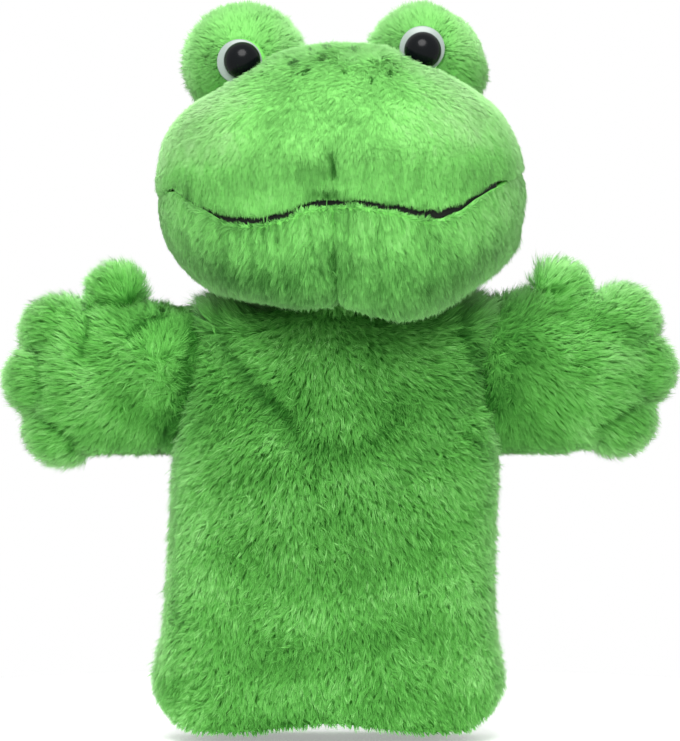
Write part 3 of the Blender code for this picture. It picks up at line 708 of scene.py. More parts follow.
# %% Growing the pile
MOST_BLADES = 62000
LOWEST = 0.0004
BLADE_LENGTHS, BLADE_WIDTHS = (0.75, 1.12), (0.7, 1.2)
TUFT_LENGTHS = (0.7, 1.3)
TUFT_MOTTLE, BLADE_MOTTLE = 0.08, 0.07


def per_tuft(tuft, values):
    """The mean of values over each tuft, given back for every root."""
    count = np.bincount(tuft)
    mean = np.stack([np.bincount(tuft, column) / np.maximum(count, 1) for column in values.T], axis=-1)
    return mean[tuft]


def laid_along(roots, ways):
    """Ways brushed over the cloth, laid flat on it and made one long."""
    normal = roots["normal"]
    return unit(ways - normal * (ways * normal).sum(axis=-1, keepdims=True))


def rippled_ways(places, size, seed):
    """A ripple for each of x, y and z."""
    return np.stack([ripple(places, size, seed + k) for k in range(3)], axis=-1)


def grow(
    name,
    roots,
    brushed,
    length,
    width,
    lean,
    tone,
    material,
    tuft_size=0.0013,
    wild=0.30,
    gather=0.30,
    mottle=1.0,
):
    """Blades on roots, in pieces small enough to export whole."""
    place, normal = roots["place"], roots["normal"]
    count = len(place)
    shaken = place + 0.4 * tuft_size * rippled_ways(place, 4 * tuft_size, 31)
    cell = np.floor(shaken / tuft_size).astype(int)
    tuft = np.unique(cell, axis=0, return_inverse=True)[1].ravel()
    tufts = tuft.max() + 1
    tuft_shake = rng.normal(size=(tufts, 3))[tuft]
    flow = brushed + wild * tuft_shake + 0.25 * wild * rng.normal(size=(count, 3))
    flow = laid_along(roots, flow)
    long = length * rng.uniform(*BLADE_LENGTHS, count)
    long = long * (1 + 0.10 * rng.normal(size=tufts)[tuft]).clip(*TUFT_LENGTHS)
    tilt = lean + 0.4 * wild * rng.normal(size=tufts)[tuft] + 0.08 * rng.normal(size=count)
    rise, slide = (long * np.cos(tilt))[:, None], (long * np.sin(tilt))[:, None]
    stations = []
    for share in (0.0, MIDWAY, 1.0):
        stations.append(place + normal * rise * (1.25 * share - 0.25 * share**3) + flow * slide * share**1.6)
    middle = per_tuft(tuft, stations[2])
    for station, pull in ((1, 0.3), (2, 1.0)):
        stations[station] += gather * pull * (middle - stations[station])
    for station in stations:
        station[:, 2] = np.maximum(station[:, 2], LOWEST)
    side = unit(np.cross(flow, normal) + 0.35 * rng.normal(size=(count, 3)))
    half = 0.5 * width * rng.uniform(*BLADE_WIDTHS, count)[:, None] * side
    corners = [stations[0] - half, stations[0] + half, stations[1] - half, stations[1] + half, stations[2]]
    points = np.stack(corners, axis=1)
    mottled = TUFT_MOTTLE * rng.normal(size=tufts)[tuft] + BLADE_MOTTLE * rng.normal(size=count)
    tone = np.clip(tone + mottle * mottled, 0.0, 1.0)
    turned_in = unit(normal + 0.35 * flow)
    order = rng.permutation(count)
    made = []
    for k, chosen in enumerate(np.array_split(order, max(1, math.ceil(count / MOST_BLADES)))):
        made.append(blades(f"{name}_{k}", points[chosen], tone[chosen], turned_in[chosen], material))
    return made


print("at most", MOST_BLADES, "blades in a piece")

# %% [markdown]
# ## Creases and painted shade
# The real cloth is creased at the armholes, across the chest, between the toes and along the chin seam, and
# its pile lies lower there, in shade. Folding the mesh for each would be slow and hard to steer, so a
# crease is a line of photo pixels with its darkness and half width, and blades that show there are
# shortened and darkened with painted shade. One line is no crease but the chin's painted shadow on the
# chest, and a few on the face are patches of painted shade by the dart, the mouth and the chin seam.

# %% Creases and painted shade
# Each line: its painted shade, its half width in pixels and its pixels; the third is the chin's painted
# shadow.
CREASE_AND_SHADOW_LINES = (
    (0.30, 6.0, ((217, 312), (230, 350), (256, 387), (279, 408), (306, 447))),
    (0.18, 13.0, ((306, 447), (345, 456), (380, 442), (400, 417))),
    (0.22, 9.0, ((219, 306), (250, 314), (300, 312), (340, 306), (372, 318), (420, 326), (458, 312))),
    (0.36, 8.0, ((205, 305), (194, 341), (187, 396), (173, 422), (159, 447))),
    (0.36, 7.0, ((460, 314), (468, 346), (482, 377), (492, 410))),
    (0.20, 6.0, ((467, 438), (487, 461), (490, 474))),
    (0.26, 2.5, ((184, 461), (183, 600), (180, 725))),
    (0.55, 4.0, ((164, 317), (142, 325), (125, 341))),
    (0.42, 4.0, ((38, 344), (43, 401))),
    (0.48, 3.5, ((46, 421), (72, 437), (66, 448))),
    (0.40, 4.5, ((83, 306), (86, 328), (80, 360))),
    (0.40, 5.0, ((98, 299), (119, 301), (136, 292))),
    (0.42, 4.0, ((540, 290), (564, 288))),
    (0.18, 9.0, ((595, 325), (636, 334))),
    (0.46, 3.5, ((598, 427), (631, 408))),
    (0.34, 4.0, ((600, 432), (605, 456))),
    (0.16, 6.0, ((627, 374), (650, 386))),
)
# The face's lines of painted shade: the dart, patches beside it and by the mouth, and the chin seam.
HEAD_CREASE_AND_SHADOW_LINES = (
    (0.36, 5.0, ((331, 157), (335, 176))),
    (0.22, 10.0, ((300, 171), (322, 170))),
    (0.20, 6.0, ((314, 194), (333, 194))),
    (0.18, 4.0, ((333, 236), (335, 304))),
    (0.22, 6.0, ((332, 240), (334, 258))),
    (0.10, 5.0, ((342, 241), (346, 245))),
)


def crease_shading(roots, brushed, reach, lines):
    """How much painted shade each blade takes from the crease and shadow lines, by where it shows from its
    root.
    """
    column, row = seen_at(roots["place"] + reach * laid_along(roots, brushed))
    found = np.zeros(len(column))
    for dark, width, line in lines:
        for (x0, y0), (x1, y1) in zip(line, line[1:]):
            run_x, run_y = x1 - x0, y1 - y0
            share = np.clip(((column - x0) * run_x + (row - y0) * run_y) / (run_x**2 + run_y**2), 0, 1)
            away = np.hypot(column - x0 - share * run_x, row - y0 - share * run_y)
            found = np.maximum(found, dark * np.exp(-((away / width) ** 2)))
    return found * smooth_step(-roots["normal"][:, 1], -0.1, 0.4)


def turned_aside(roots):
    """From 0 where a root faces the front or back to 1 where it faces sideways, up or down."""
    return smooth_step(1 - np.abs(roots["normal"][:, 1]), 0.40, 0.95)


print(len(CREASE_AND_SHADOW_LINES) + len(HEAD_CREASE_AND_SHADOW_LINES), "creases")

# %% [markdown]
# ## The glove's panels
# The glove is a front and a back panel, sewn at the sides with the armholes left open. Its hem is turned up
# inside, so it is thicker there, and its corners curve up to the side seams. Each panel is cut out of the
# loft by the turns between which it lies, so that both meet along one seam.

# %% The glove's panels
ARMHOLE_MARGIN = 0.0040
SHOULDER_SLOPE = (0.0440, 0.0495)
HEM_TURN_UP, HEM_THICKNESS = 0.012, 0.0070
LINING, LOOSE_GAP = 0.0010, 0.0018
HEM_CORNER, HEM_CORNER_REACH, HEM_LIFT_HEIGHT = 0.0080, (0.044, 0.060), 0.050
HEM_LIFT, HEM_WAVE, HEM_PITCH, HEM_LOWEST_X = {1: 0.0058, -1: 0.0035}, 0.0015, 0.066, 0.029
SEAM_GAP, SEAM_LIFT, SEAM_LIFT_REACH = 0.00002, 0.0050, (0.030, 0.054)


def armhole_reach(along):
    """How far a panel's edge stays from the side seam: wide at the armhole, hardly at all elsewhere."""
    z, width = np.moveaxis(read_sections(BODY_SECTIONS, along), -1, 0)[:2]
    height, depth = ARM_HEIGHT - ARMHOLE_MARGIN, ARM_DEPTH - ARMHOLE_MARGIN
    hole = depth * np.sqrt(np.clip(1 - ((z - ARM_Z) / height) ** 2, 0, 1))
    return SEAM_GAP + hole * smooth_step(width, *SHOULDER_SLOPE)


def plush_depth(z):
    """Inner face of a body panel: the hem is turned up inside, so the cloth is thicker there."""
    return HEM_THICKNESS + (PLUSH - HEM_THICKNESS) * smooth_step(z, 0.9 * HEM_TURN_UP, 1.3 * HEM_TURN_UP)


def body_grid(side, depth, rows=72, columns=64, first=0.0, last=1.0):
    """Points of the body's front (side 1) or back (side -1), sunk by depth."""
    up, across = shares(rows, columns)
    along = first + (last - first) * up
    sections = np.moveaxis(read_sections(BODY_SECTIONS, along), -1, 0)
    reach = armhole_reach(along) / (sections[2] if side > 0 else sections[3])
    edge = np.arccos(np.clip(reach, 0, 1) ** (BODY_ROUNDNESS / 2))
    even = 2 * across - 1
    spaced = np.arcsin(np.sign(even) * np.abs(even) ** (BODY_ROUNDNESS / 2) * np.sin(edge))
    turn = 0.5 * (edge * even + spaced)
    if side < 0:
        turn = math.pi - turn
    points = sunk(body_surface, turn, along, depth(sections[0]) if callable(depth) else depth + 0 * turn)
    if first == 0:
        points[0, :, 2] = 0.0
        aside = np.abs(points[..., 0] - HEM_SHIFT)
        lift = HEM_CORNER * smooth_step(aside, *HEM_CORNER_REACH) ** 1.5
        inward = 1 - smooth_step(aside, *SEAM_LIFT_REACH)
        lift += SEAM_LIFT + (HEM_LIFT[side] - SEAM_LIFT) * inward
        lift -= HEM_WAVE * np.cos(2 * math.pi * (points[..., 0] - HEM_LOWEST_X) / HEM_PITCH)
        points[..., 2] += lift * np.clip(1 - points[..., 2] / HEM_LIFT_HEIGHT, 0, 1) ** 2
    return points


print("the hem is turned up", 1000 * HEM_TURN_UP, "mm")

# %% [markdown]
# ## The glove's pile and lining
# The real pile falls down and outwards from the chest, parts a little at the seams and stands up on the
# shoulders. Painted light makes it lighter at the rims and down the sides, and painted shade darker at the
# seams, under the chin, in the creases and at the hem.
# A plain lining hangs loose inside.

# %% The glove's pile and lining
BODY_DENSITY, BODY_LENGTH, BODY_WIDTH = 9.0, 0.0058, 0.00022
BODY_TUFTS = (0.0009, 0.34, 0.22, 1.3)
BODY_LEAN, SHOULDER_LEAN = 0.90, 0.35
CHEST_HEART = np.array((-0.0040, 0.0, 0.1500))
# Painted light on the rims and sides, painted shade at the seams, on the chest under the chin and at the
# hem.
BODY_TONE, BODY_RIPPLE, SEAM_SHADE, BODY_RIM_LIGHT = 0.43, 0.08, 0.06, 0.42
CHEST_SHADE, SIDE_LIGHT, LEFT_SIDE_LIGHT, HEM_SHADE = 0.07, 0.16, 0.06, 0.04
LINING_SPAN = (40, 40, 0.175, 0.88)


def body_tone(roots, parted, crease_shade):
    """Painted light at the rims and down the sides, painted shade in creases, under the chin and at the hem.
    """
    place = roots["place"]
    tone = BODY_TONE + BODY_RIPPLE * ripple(place, 0.018, 6) - SEAM_SHADE * parted - crease_shade
    tone = tone + BODY_RIM_LIGHT * turned_aside(roots)
    tone -= CHEST_SHADE * smooth_step(place[:, 2], 0.095, 0.125)
    outer_side = smooth_step(np.abs(place[:, 0] - body_shift(place[:, 2])), 0.028, 0.052)
    tone += SIDE_LIGHT * outer_side * (1 - smooth_step(place[:, 2], 0.085, 0.110))
    low_down = 1 - smooth_step(place[:, 2], 0.015, 0.035)
    tone += LEFT_SIDE_LIGHT * outer_side * (place[:, 0] < 0) - HEM_SHADE * low_down
    return tone


def ride_all(objs, body):
    """Every piece of a pile rides with the cloth that it grows on."""
    for obj in objs:
        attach(obj, body)


for name, side in (("front", 1), ("back", -1)):
    skin = panel(f"body_{name}_plush", body_grid(side, SKIN), body_grid(side, plush_depth), BODY_CLOTH)
    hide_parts(f"body_{name}")
    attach(skin, "glove")
    roots = spread(body_grid(side, SKIN), BODY_DENSITY, side)
    place = roots["place"]
    seam = np.minimum(roots["edge"][2], roots["edge"][3])
    parted = 1 - smooth_step(seam, 0.0, 0.004)
    brushed = unit((place - CHEST_HEART) * (1.2, 0, 1))
    brushed += 0.25 * np.stack([ripple(place, 0.03, 5), 0 * seam, ripple(place, 0.03, 4)], axis=-1)
    crease_shade = crease_shading(roots, brushed, 0.5 * BODY_LENGTH, CREASE_AND_SHADOW_LINES)
    length = BODY_LENGTH * (1 - 0.35 * parted) * (0.45 + 0.55 * smooth_step(roots["edge"][0], 0.0, 0.010))
    length *= 1 - 0.8 * crease_shade
    shoulder = smooth_step(np.abs(place[:, 0] - NECK_SHIFT), 0.026, 0.036)
    shoulder = shoulder * smooth_step(place[:, 2], 0.136, 0.144)
    brushed += shoulder[:, None] * np.stack([0.6 * np.sign(place[:, 0]), 0 * seam, 2.2 + 0 * seam], axis=-1)
    length *= 1 + 0.9 * shoulder
    lean = BODY_LEAN - SHOULDER_LEAN * shoulder
    tone = body_tone(roots, parted, crease_shade)
    pile = grow(
        f"body_{name}_pile", roots, brushed, length, BODY_WIDTH, lean, tone, BODY_PILE, *BODY_TUFTS
    )
    ride_all(pile, "glove")
    inside = body_grid(side, PLUSH + LOOSE_GAP, *LINING_SPAN)
    behind = body_grid(side, PLUSH + LOOSE_GAP + LINING, *LINING_SPAN)
    lining_green = plain(f"lining_{name}", (0.050, 0.220, 0.040), 0.85)
    cloth = panel(f"lining_{name}_cloth", inside, behind, lining_green)
    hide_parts(f"lining_{name}")
    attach(cloth, "glove")
    print(name, "panel:", len(place), "blades")

# %% [markdown]
# ## Where the eyes sit
# Two stuffed mounds are sewn on the crown, and a plastic eye is pushed through each. The crown's cloth
# gives way to the eyes' stems and washers, so its points are pressed aside there, and no pile grows inside
# a mound. These helpers work on the upright head, which is then leaned as it was sewn.

# %% Where the eyes sit
MOUND_SPREAD, MOUND_Y, MOUND_Z, MOUND_STEP = 0.0312, 0.013, 0.2302, 0.0016
MOUND_SIZE = np.array((0.0190, 0.0190, 0.0185))
EYE_SPREAD, EYE_Z = 0.0306, 0.2321
EYE_DENT, DENT_RADIUS = (-0.0115, 0.0072), 0.0083


def mound_centre(side):
    """Middle of an eye mound on the upright head."""
    return np.array((side * MOUND_SPREAD + NECK_SHIFT, MOUND_Y, MOUND_Z - side * MOUND_STEP))


def inside_mounds(points, margin):
    """True where upright points lie inside an eye mound shrunk by margin."""
    found = np.zeros(len(points), bool)
    for side in (-1, 1):
        away = (points - mound_centre(side)) / (MOUND_SIZE - margin)
        found |= (away**2).sum(axis=-1) < 1
    return found


def near_eye(points):
    """Distance from the nearer eye's axis, for upright points level with the eyes and their washers."""
    away = np.full(len(points), 1.0)
    level = (points[:, 1] > EYE_DENT[0] - 0.0012) & (points[:, 1] < EYE_DENT[1] + 0.0012)
    for side in (-1, 1):
        run = np.hypot(points[:, 0] - side * EYE_SPREAD - NECK_SHIFT, points[:, 2] - EYE_Z)
        away = np.where(level, np.minimum(away, run), away)
    return away


def dented(points):
    """Presses the crown's cloth away from the plastic eyes and their washers."""
    y = points[..., 1]
    level = smooth_step(y, EYE_DENT[0] - 0.0008, EYE_DENT[0])
    level = level * (1 - smooth_step(y, EYE_DENT[1], EYE_DENT[1] + 0.001))
    for side in (-1, 1):
        x, z = points[..., 0] - side * EYE_SPREAD - NECK_SHIFT, points[..., 2] - EYE_Z
        run = np.maximum(np.hypot(x, z), 1e-6)
        push = np.maximum(DENT_RADIUS - run, 0.0) / run * level
        points[..., 0] += push * x
        points[..., 2] += push * z
    return points


def upright(points):
    """Points of the sewn head put back upright: undoes tipped()."""
    c, s = math.cos(HEAD_TURN), math.sin(HEAD_TURN)
    turn = np.array([[c, -s, 0], [s, c, 0], [0, 0, 1]])
    c, s = math.cos(HEAD_ROLL), math.sin(HEAD_ROLL)
    roll = np.array([[c, 0, s], [0, 1, 0], [-s, 0, c]])
    return (points - NECK_PIVOT) @ (turn @ roll) + NECK_PIVOT


print("eye mounds", round(2000 * MOUND_SPREAD, 1), "mm apart")

# %% [markdown]
# ## The head's panels
# Crown, chins and back are panels of one surface, so that they meet along the seams. A short dart pulls the
# crown in above the mouth, and a groove runs down between the chins. The mouth line sags a little as the
# cloth does.

# %% The head's panels
DART_DEPTH, DART_WIDTH = 0.0020, 0.0026
DART_LOW, DART_HIGH, DART_SLANT = 0.190, 0.2000, 0.27
CHIN_GROOVE, CHIN_GROOVE_WIDTH, CHIN_TOP = 0.0016, 0.0020, (0.174, 0.181)
HALF_TRIM, TRIM_GAP = 0.0007, 0.0005
MOUTH_WIDEST, MOUTH_WIDE_REACH = math.radians(31.0), math.radians(11.0)
SAG = (
    (-0.050, -0.0008),
    (-0.042, -0.0002),
    (-0.036, 0.0014),
    (-0.030, 0.0014),
    (-0.022, 0.0019),
    (-0.014, 0.0019),
    (-0.009, 0.0010),
    (0.022, 0.0010),
    (0.029, 0.0021),
    (0.036, 0.0023),
    (0.043, 0.0014),
    (0.048, -0.0003),
    (0.053, -0.0010),
)


def head_grid(turns, bottom, top, depth, rows, columns):
    """Points of the head between two turns, from bottom(turn) to top(turn), leaned as sewn."""
    up, across = shares(rows, columns)
    turn = turns[0] + (turns[1] - turns[0]) * across
    low, high = bottom(turn[0]), top(turn[0])
    along = low + (high - low) * up
    points = sunk(head_surface, turn, along, depth + 0 * turn)
    x, z = points[..., 0].copy(), points[..., 2].copy()
    tall = smooth_step(z, DART_LOW - 0.006, DART_LOW + 0.003)
    tall = tall * (1 - smooth_step(z, DART_HIGH, DART_HIGH + 0.006))
    slant = NECK_SHIFT + DART_SLANT * (z - DART_LOW)
    dart = DART_DEPTH * tall * np.exp(-(((x - slant) / DART_WIDTH) ** 2))
    below = 1 - smooth_step(z, *CHIN_TOP)
    dart += CHIN_GROOVE * below * np.exp(-(((x - NECK_SHIFT) / CHIN_GROOVE_WIDTH) ** 2))
    points[..., 1] += np.where(points[..., 1] < -0.02, dart, 0.0)
    return tipped(dented(points))


def seam_shift(share, gap):
    """A line beside the mouth seam, as a share of the strip and a gap, which meets it past the strip."""

    def line(turn):
        closed = smooth_step(np.abs((turn + math.pi) % (2 * math.pi) - math.pi), STRIP_END, SEAM_CLOSED)
        swell = 0.95 + 0.35 * np.exp(-(((np.abs(turn) - MOUTH_WIDEST) / MOUTH_WIDE_REACH) ** 2))
        level = seam_along(turn)
        sag = np.interp(head_surface(turn, level)[..., 0] - NECK_SHIFT, *zip(*SAG))
        return level + (share * (HALF_TRIM + gap) * swell - sag) / HEAD_RISE * (1 - closed)

    return line


def neck_edge(turn):
    """The lower edge of the chins and the back, at the neck."""
    return 0 * turn


def crown_top(turn):
    """The upper edge of the crown, where its panel closes."""
    return 0.995 + 0 * turn


LIP_ABOVE, LIP_BELOW = seam_shift(1, TRIM_GAP), seam_shift(-1, TRIM_GAP)
HEAD_PANELS = (
    ("head_crown", (-math.pi, math.pi), LIP_ABOVE, crown_top, 44, 145),
    ("chin_left", (-SIDE_SEAM, 0.0), neck_edge, LIP_BELOW, 36, 84),
    ("chin_right", (0.0, SIDE_SEAM), neck_edge, LIP_BELOW, 36, 84),
    ("head_back", (SIDE_SEAM, 2 * math.pi - SIDE_SEAM), neck_edge, LIP_BELOW, 36, 64),
)
print(len(HEAD_PANELS), "panels round the head")

# %% [markdown]
# ## How the head's pile lies
# The head's pile is short and falls from the top outwards and down. It is cut low along the mouth so that
# the dark strip shows, with a few stray hairs across it, and it parts along the chin seam. The masks are
# shares from 0 to 1 that say where on the head a blade stands, and the sums after them say how it lies
# there.

# %% How the head's pile lies
HEAD_DENSITY, HEAD_LENGTH, HEAD_WIDTH = 16.0, 0.0034, 0.00020
CHIN_LONGER = 1.25
HEAD_LEAN, LIP_RISE = 1.18, 0.35
STRAYS, STRAY_REACH, STRAY_LENGTH = (264, 268, 301, 327, 341), 0.25, 0.0044


def head_masks(roots, crown):
    """Where each root stands: near the mouth, in front, beside a seam, left or right of the middle."""
    straight = upright(roots["place"])
    middle = straight[:, 0] - NECK_SHIFT
    mouth_edge = roots["edge"][0] if crown else roots["edge"][1]
    before = smooth_step(-straight[:, 1], -0.010, 0.004)
    seam = np.full(len(middle), 1.0) if crown else np.minimum(roots["edge"][2], roots["edge"][3])
    low = (1 - smooth_step(mouth_edge, 0.0, 0.0030)) * before
    low *= 1 - 0.8 * smooth_step(NECK_SHIFT - straight[:, 0], 0.036, 0.046)
    lip = 0.0 * low if crown else (1 - smooth_step(mouth_edge, 0.0004, 0.0015)) * before
    return SimpleNamespace(
        straight=straight,
        middle=middle,
        mouth_edge=mouth_edge,
        before=before,
        shown=1 - smooth_step(straight[:, 1], -0.005, 0.020),
        parted=1 - smooth_step(seam, 0.0, 0.003),
        low=low,
        lip=lip * (1 - smooth_step(np.abs(middle), 0.044, 0.052)),
        ragged=0.5 + 0.5 * ripple(roots["place"], 0.006, 21),
        far_left=smooth_step(-middle, 0.040, 0.055),
        right=smooth_step(middle, 0.010, 0.030),
        under=smooth_step(-roots["normal"][:, 2], 0.2, 0.5),
    )


def head_brushed(roots, at, crown):
    """The way the pile falls: down and outwards, away from the chin seam, and up at the lower lip."""
    level = 0 * at.middle
    brushed = np.stack([-4 * at.middle if crown else 4 * at.middle, 0.45 + level, -1 + level], axis=-1)
    brushed = unit(brushed) + 0.12 * rippled_ways(roots["place"], 0.018, 40)
    brushed[:, 0] += 0.5 * at.parted * np.sign(at.middle)
    brushed[:, 2] += 1.7 * at.lip
    return brushed


def head_length(roots, at, crease_shade, crown):
    """Shorter along the mouth, in creases, round the eyes and at the mouth's corners."""
    trimmed = (0.75 - 0.35 * at.ragged) * at.low if crown else (0.80 - 0.35 * at.ragged) * at.lip
    length = HEAD_LENGTH * (1.0 if crown else CHIN_LONGER) * (1 - trimmed)
    length = length * (1 - 0.2 * at.parted * (1 - at.low)) * (1 - 0.6 * crease_shade)
    length *= 0.7 + 0.3 * smooth_step(near_eye(at.straight), DENT_RADIUS, DENT_RADIUS + 0.003)
    corner = (1 - smooth_step(at.mouth_edge, 0.0, 0.0035)) * smooth_step(np.abs(at.middle), 0.046, 0.056)
    length *= 1 - 0.4 * corner * smooth_step(-at.straight[:, 1], -0.03, -0.01)
    if crown:
        column = seen_at(roots["place"])[0]
        stray = np.min([np.abs(column - x) for x in STRAYS], axis=0) < STRAY_REACH
        return np.where(stray & (at.mouth_edge < 0.0012) & (at.before > 0), STRAY_LENGTH, length)
    return length * (1 - 0.3 * at.far_left + 0.25 * at.under * at.right)


def head_lean(roots, at, crown):
    """How far the blades lie over: less at the lower lip and where the outline shows them standing."""
    upward = roots["normal"][:, 2]
    lean = HEAD_LEAN - LIP_RISE * at.lip
    if crown:
        lean += 0.20 * smooth_step(upward, 0.25, 0.60)
        lean -= 0.45 * smooth_step(upward, 0.82, 0.96) * at.shown
        temple = smooth_step(at.straight[:, 2], 0.198, 0.210)
        return lean - 0.40 * smooth_step(-at.middle, 0.034, 0.048) * temple
    return lean + (at.far_left * 0.15 - 0.45 * at.under * at.right)


print("head pile", 1000 * HEAD_LENGTH, "mm long")

# %% [markdown]
# ## The head's tones
# Fine streaks run down the face. Painted light lies on the temples, cheeks and rims, painted shade on the
# jaw, the lips and above the mouth, and a few dark flecks show between the eyes. Painting them on a map
# would need one to be unwrapped for the head, so each blade is given its tone by where it stands, and a
# fleck by the pixel of the photo at which it shows.

# %% The head's tones
# Painted light on the temples, rims and cheeks; painted shade at the lips, above the mouth, forehead and
# jaw.
CROWN_TONE, CHIN_TONE, LIP_SHADE, BROW_SHADE = 0.42, 0.45, 0.18, 0.16
TEMPLE_LIGHT, FOREHEAD_SHADE, HEAD_RIM_LIGHT = 0.36, 0.05, 0.2
JAW_SHADE, LEFT_JAW_SHADE, CHEEK_LIGHT = 0.25, 0.08, 0.12
FLECKS = ((294, 66), (307, 73), (324, 61), (345, 72), (372, 82), (389, 75), (326, 50), (352, 52), (311, 52))
FLECK_REACH, FLECK_TONE, FLECK_DEPTH = 1.9, -0.5, 0.0050


def flecked(roots, brushed):
    """True for the foremost blades that show at the flecks' pixels."""
    place, laid = roots["place"], laid_along(roots, brushed)
    found = np.zeros(len(place), bool)
    for x, y in FLECKS:
        close = np.zeros(len(place), bool)
        for share in (0.2, 0.5, 0.8):
            column, row = seen_at(place + share * HEAD_LENGTH * laid)
            close |= (np.hypot(column - x, 0.8 * (row - y)) < FLECK_REACH) & (place[:, 1] < 0)
        found |= close & (place[:, 1] < place[close, 1].min(initial=1.0) + FLECK_DEPTH)
    return found


def head_tone(roots, at, crease_shade, brushed, crown, chin):
    """Streaked; painted shade at the lips, in creases and on the jaw; painted light on temples and cheeks.
    """
    drawn_out = at.straight * (1, 1, 0.3)
    streaks = 0.05 * ripple(drawn_out, 0.0024, 7) + 0.04 * ripple(drawn_out, 0.0060, 6)
    tone = (CROWN_TONE if crown else CHIN_TONE) + 0.04 * ripple(roots["place"], 0.016, 8)
    tone = tone - crease_shade - LIP_SHADE * at.lip
    tone += streaks * (1.6 - 0.9 * smooth_step(at.mouth_edge, 0.008, 0.020) if chin else 1.0)
    if crown:
        tone -= BROW_SHADE * (1 - smooth_step(at.mouth_edge, 0.0, 0.0050)) * at.before * at.ragged
        high = smooth_step(at.straight[:, 2], 0.192, 0.206)
        temple = TEMPLE_LIGHT * smooth_step(np.abs(at.middle), 0.012, 0.045) - FOREHEAD_SHADE
        tone += high * temple * (0.3 + 0.7 * at.shown)
        tone += HEAD_RIM_LIGHT * turned_aside(roots) * (0.3 + 0.7 * at.shown)
        return np.where(flecked(roots, brushed), FLECK_TONE, tone)
    if chin:
        shade = JAW_SHADE * smooth_step(at.mouth_edge, 0.005, 0.020)
        tone -= shade * (1 - 0.5 * turned_aside(roots)) * at.shown
    tone -= LEFT_JAW_SHADE * smooth_step(-at.middle, 0.005, 0.020)
    return tone + CHEEK_LIGHT * smooth_step(np.abs(at.middle), 0.036, 0.054) * at.shown


print(len(FLECKS), "flecks and", len(STRAYS), "stray hairs")

# %% [markdown]
# ## Head
# Each panel is laid, covered in pile and set riding on the head. No pile grows where a mound or an eye
# sits, since it would poke through them.

# %% Head
CHIN_TUFTS, CROWN_TUFTS = (0.0010, 0.15, 0.14, 0.6), (0.0009, 0.08, 0.05, 0.35)
for name, turns, bottom, top, rows, columns in HEAD_PANELS:
    outer = head_grid(turns, bottom, top, SKIN, rows, columns)
    inner = head_grid(turns, bottom, top, PLUSH, rows, columns)
    crown, chin = name == "head_crown", name.startswith("chin")
    skin = panel(name + "_plush", outer, inner, HEAD_CLOTH, wrap=crown)
    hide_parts(name)
    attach(skin, "head")
    roots = spread(outer, HEAD_DENSITY, 1)
    straight = upright(roots["place"])
    roots = keep_roots(roots, ~inside_mounds(straight, 0.001) & (near_eye(straight) > DENT_RADIUS + 0.0006))
    at = head_masks(roots, crown)
    brushed = head_brushed(roots, at, crown)
    crease_shade = crease_shading(roots, brushed, 0.5 * HEAD_LENGTH, HEAD_CREASE_AND_SHADOW_LINES)
    length, lean = head_length(roots, at, crease_shade, crown), head_lean(roots, at, crown)
    tone = head_tone(roots, at, crease_shade, brushed, crown, chin)
    tufts = CHIN_TUFTS if chin else CROWN_TUFTS
    pile = grow(name + "_pile", roots, brushed, length, HEAD_WIDTH, lean, tone, HEAD_PILE, *tufts)
    ride_all(pile, "head")
    print(name, len(brushed), "blades")

# %% [markdown]
# ## Mouth
# A narrow strip of black felt is sewn into the mouth seam. It could be painted on the pile, but a strip of
# its own keeps a clean edge: it fills the gap between the lips and lies just under their skin.

# %% Mouth
STRIP_DEPTH, STRIP_ROWS, STRIP_COLUMNS = 0.0017, 5, 120
mouth = (-STRIP_END, STRIP_END)
face = head_grid(mouth, LIP_BELOW, LIP_ABOVE, STRIP_DEPTH, STRIP_ROWS, STRIP_COLUMNS)
rear = head_grid(mouth, LIP_BELOW, LIP_ABOVE, PLUSH, STRIP_ROWS, STRIP_COLUMNS)
strip = panel("mouth_strip", face, rear, plain("mouth_felt", (0.003, 0.005, 0.003), 1.0))
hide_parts("mouth_trim")
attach(strip, "head")
print("mouth strip", len(strip.data.vertices), "points")

# %% [markdown]
# ## Turned and round pieces
# The plastic eye is turned: a profile of radius and depth, swept round a line through its middle. The mound
# under it is a stuffed ball, which is a grid like the other panels, so that pile can grow on it. No pile
# grows where a ball sinks into the head.


# %% Turned and round pieces
def turned(name, profile, centre, material, count=64):
    """A piece turned about a line along Y through centre, then leaned with the head."""
    turn = np.linspace(0, 2 * math.pi, count, endpoint=False)
    points, faces = [], []
    for radius, y in profile:
        points.append(np.stack([radius * np.cos(turn), np.full(count, y), radius * np.sin(turn)], axis=-1))
    for row in range(len(profile) - 1):
        for i in range(count):
            j = (i + 1) % count
            faces.append((row * count + i, row * count + j, (row + 1) * count + j, (row + 1) * count + i))
    faces.append(tuple(range(count - 1, -1, -1)))
    faces.append(tuple(range((len(profile) - 1) * count, len(profile) * count)))
    return mesh_object(name, tipped(np.concatenate(points) + centre), faces, material)


def ball_grid(centre, size, rows=40, columns=64):
    """Points over a ball on the head, from its lowest to its highest."""
    up, across = shares(rows, columns)
    lift, turn = math.pi * (0.996 * up - 0.498), 2 * math.pi * across
    flat = np.cos(lift)
    points = np.stack([flat * np.sin(turn), -flat * np.cos(turn), np.sin(lift)], axis=-1)
    return tipped(points * size + centre)


def inside_head(points, margin):
    """True where upright points lie inside the head sunk by margin."""
    heights, widths, fronts, backs = read_sections(HEAD_SECTIONS, np.linspace(0.2, 1, 300)).T[:4]
    width = np.interp(points[:, 2] + margin, heights, widths)
    depth = np.where(
        points[:, 1] < 0,
        np.interp(points[:, 2] + margin, heights, fronts),
        np.interp(points[:, 2] + margin, heights, backs),
    )
    x, y = points[:, 0] - NECK_SHIFT, points[:, 1]
    share = np.abs(x / np.maximum(width - margin, 1e-6)) ** HEAD_ROUNDNESS
    share = share + np.abs(y / np.maximum(depth - margin, 1e-6)) ** HEAD_ROUNDNESS
    return share < 1


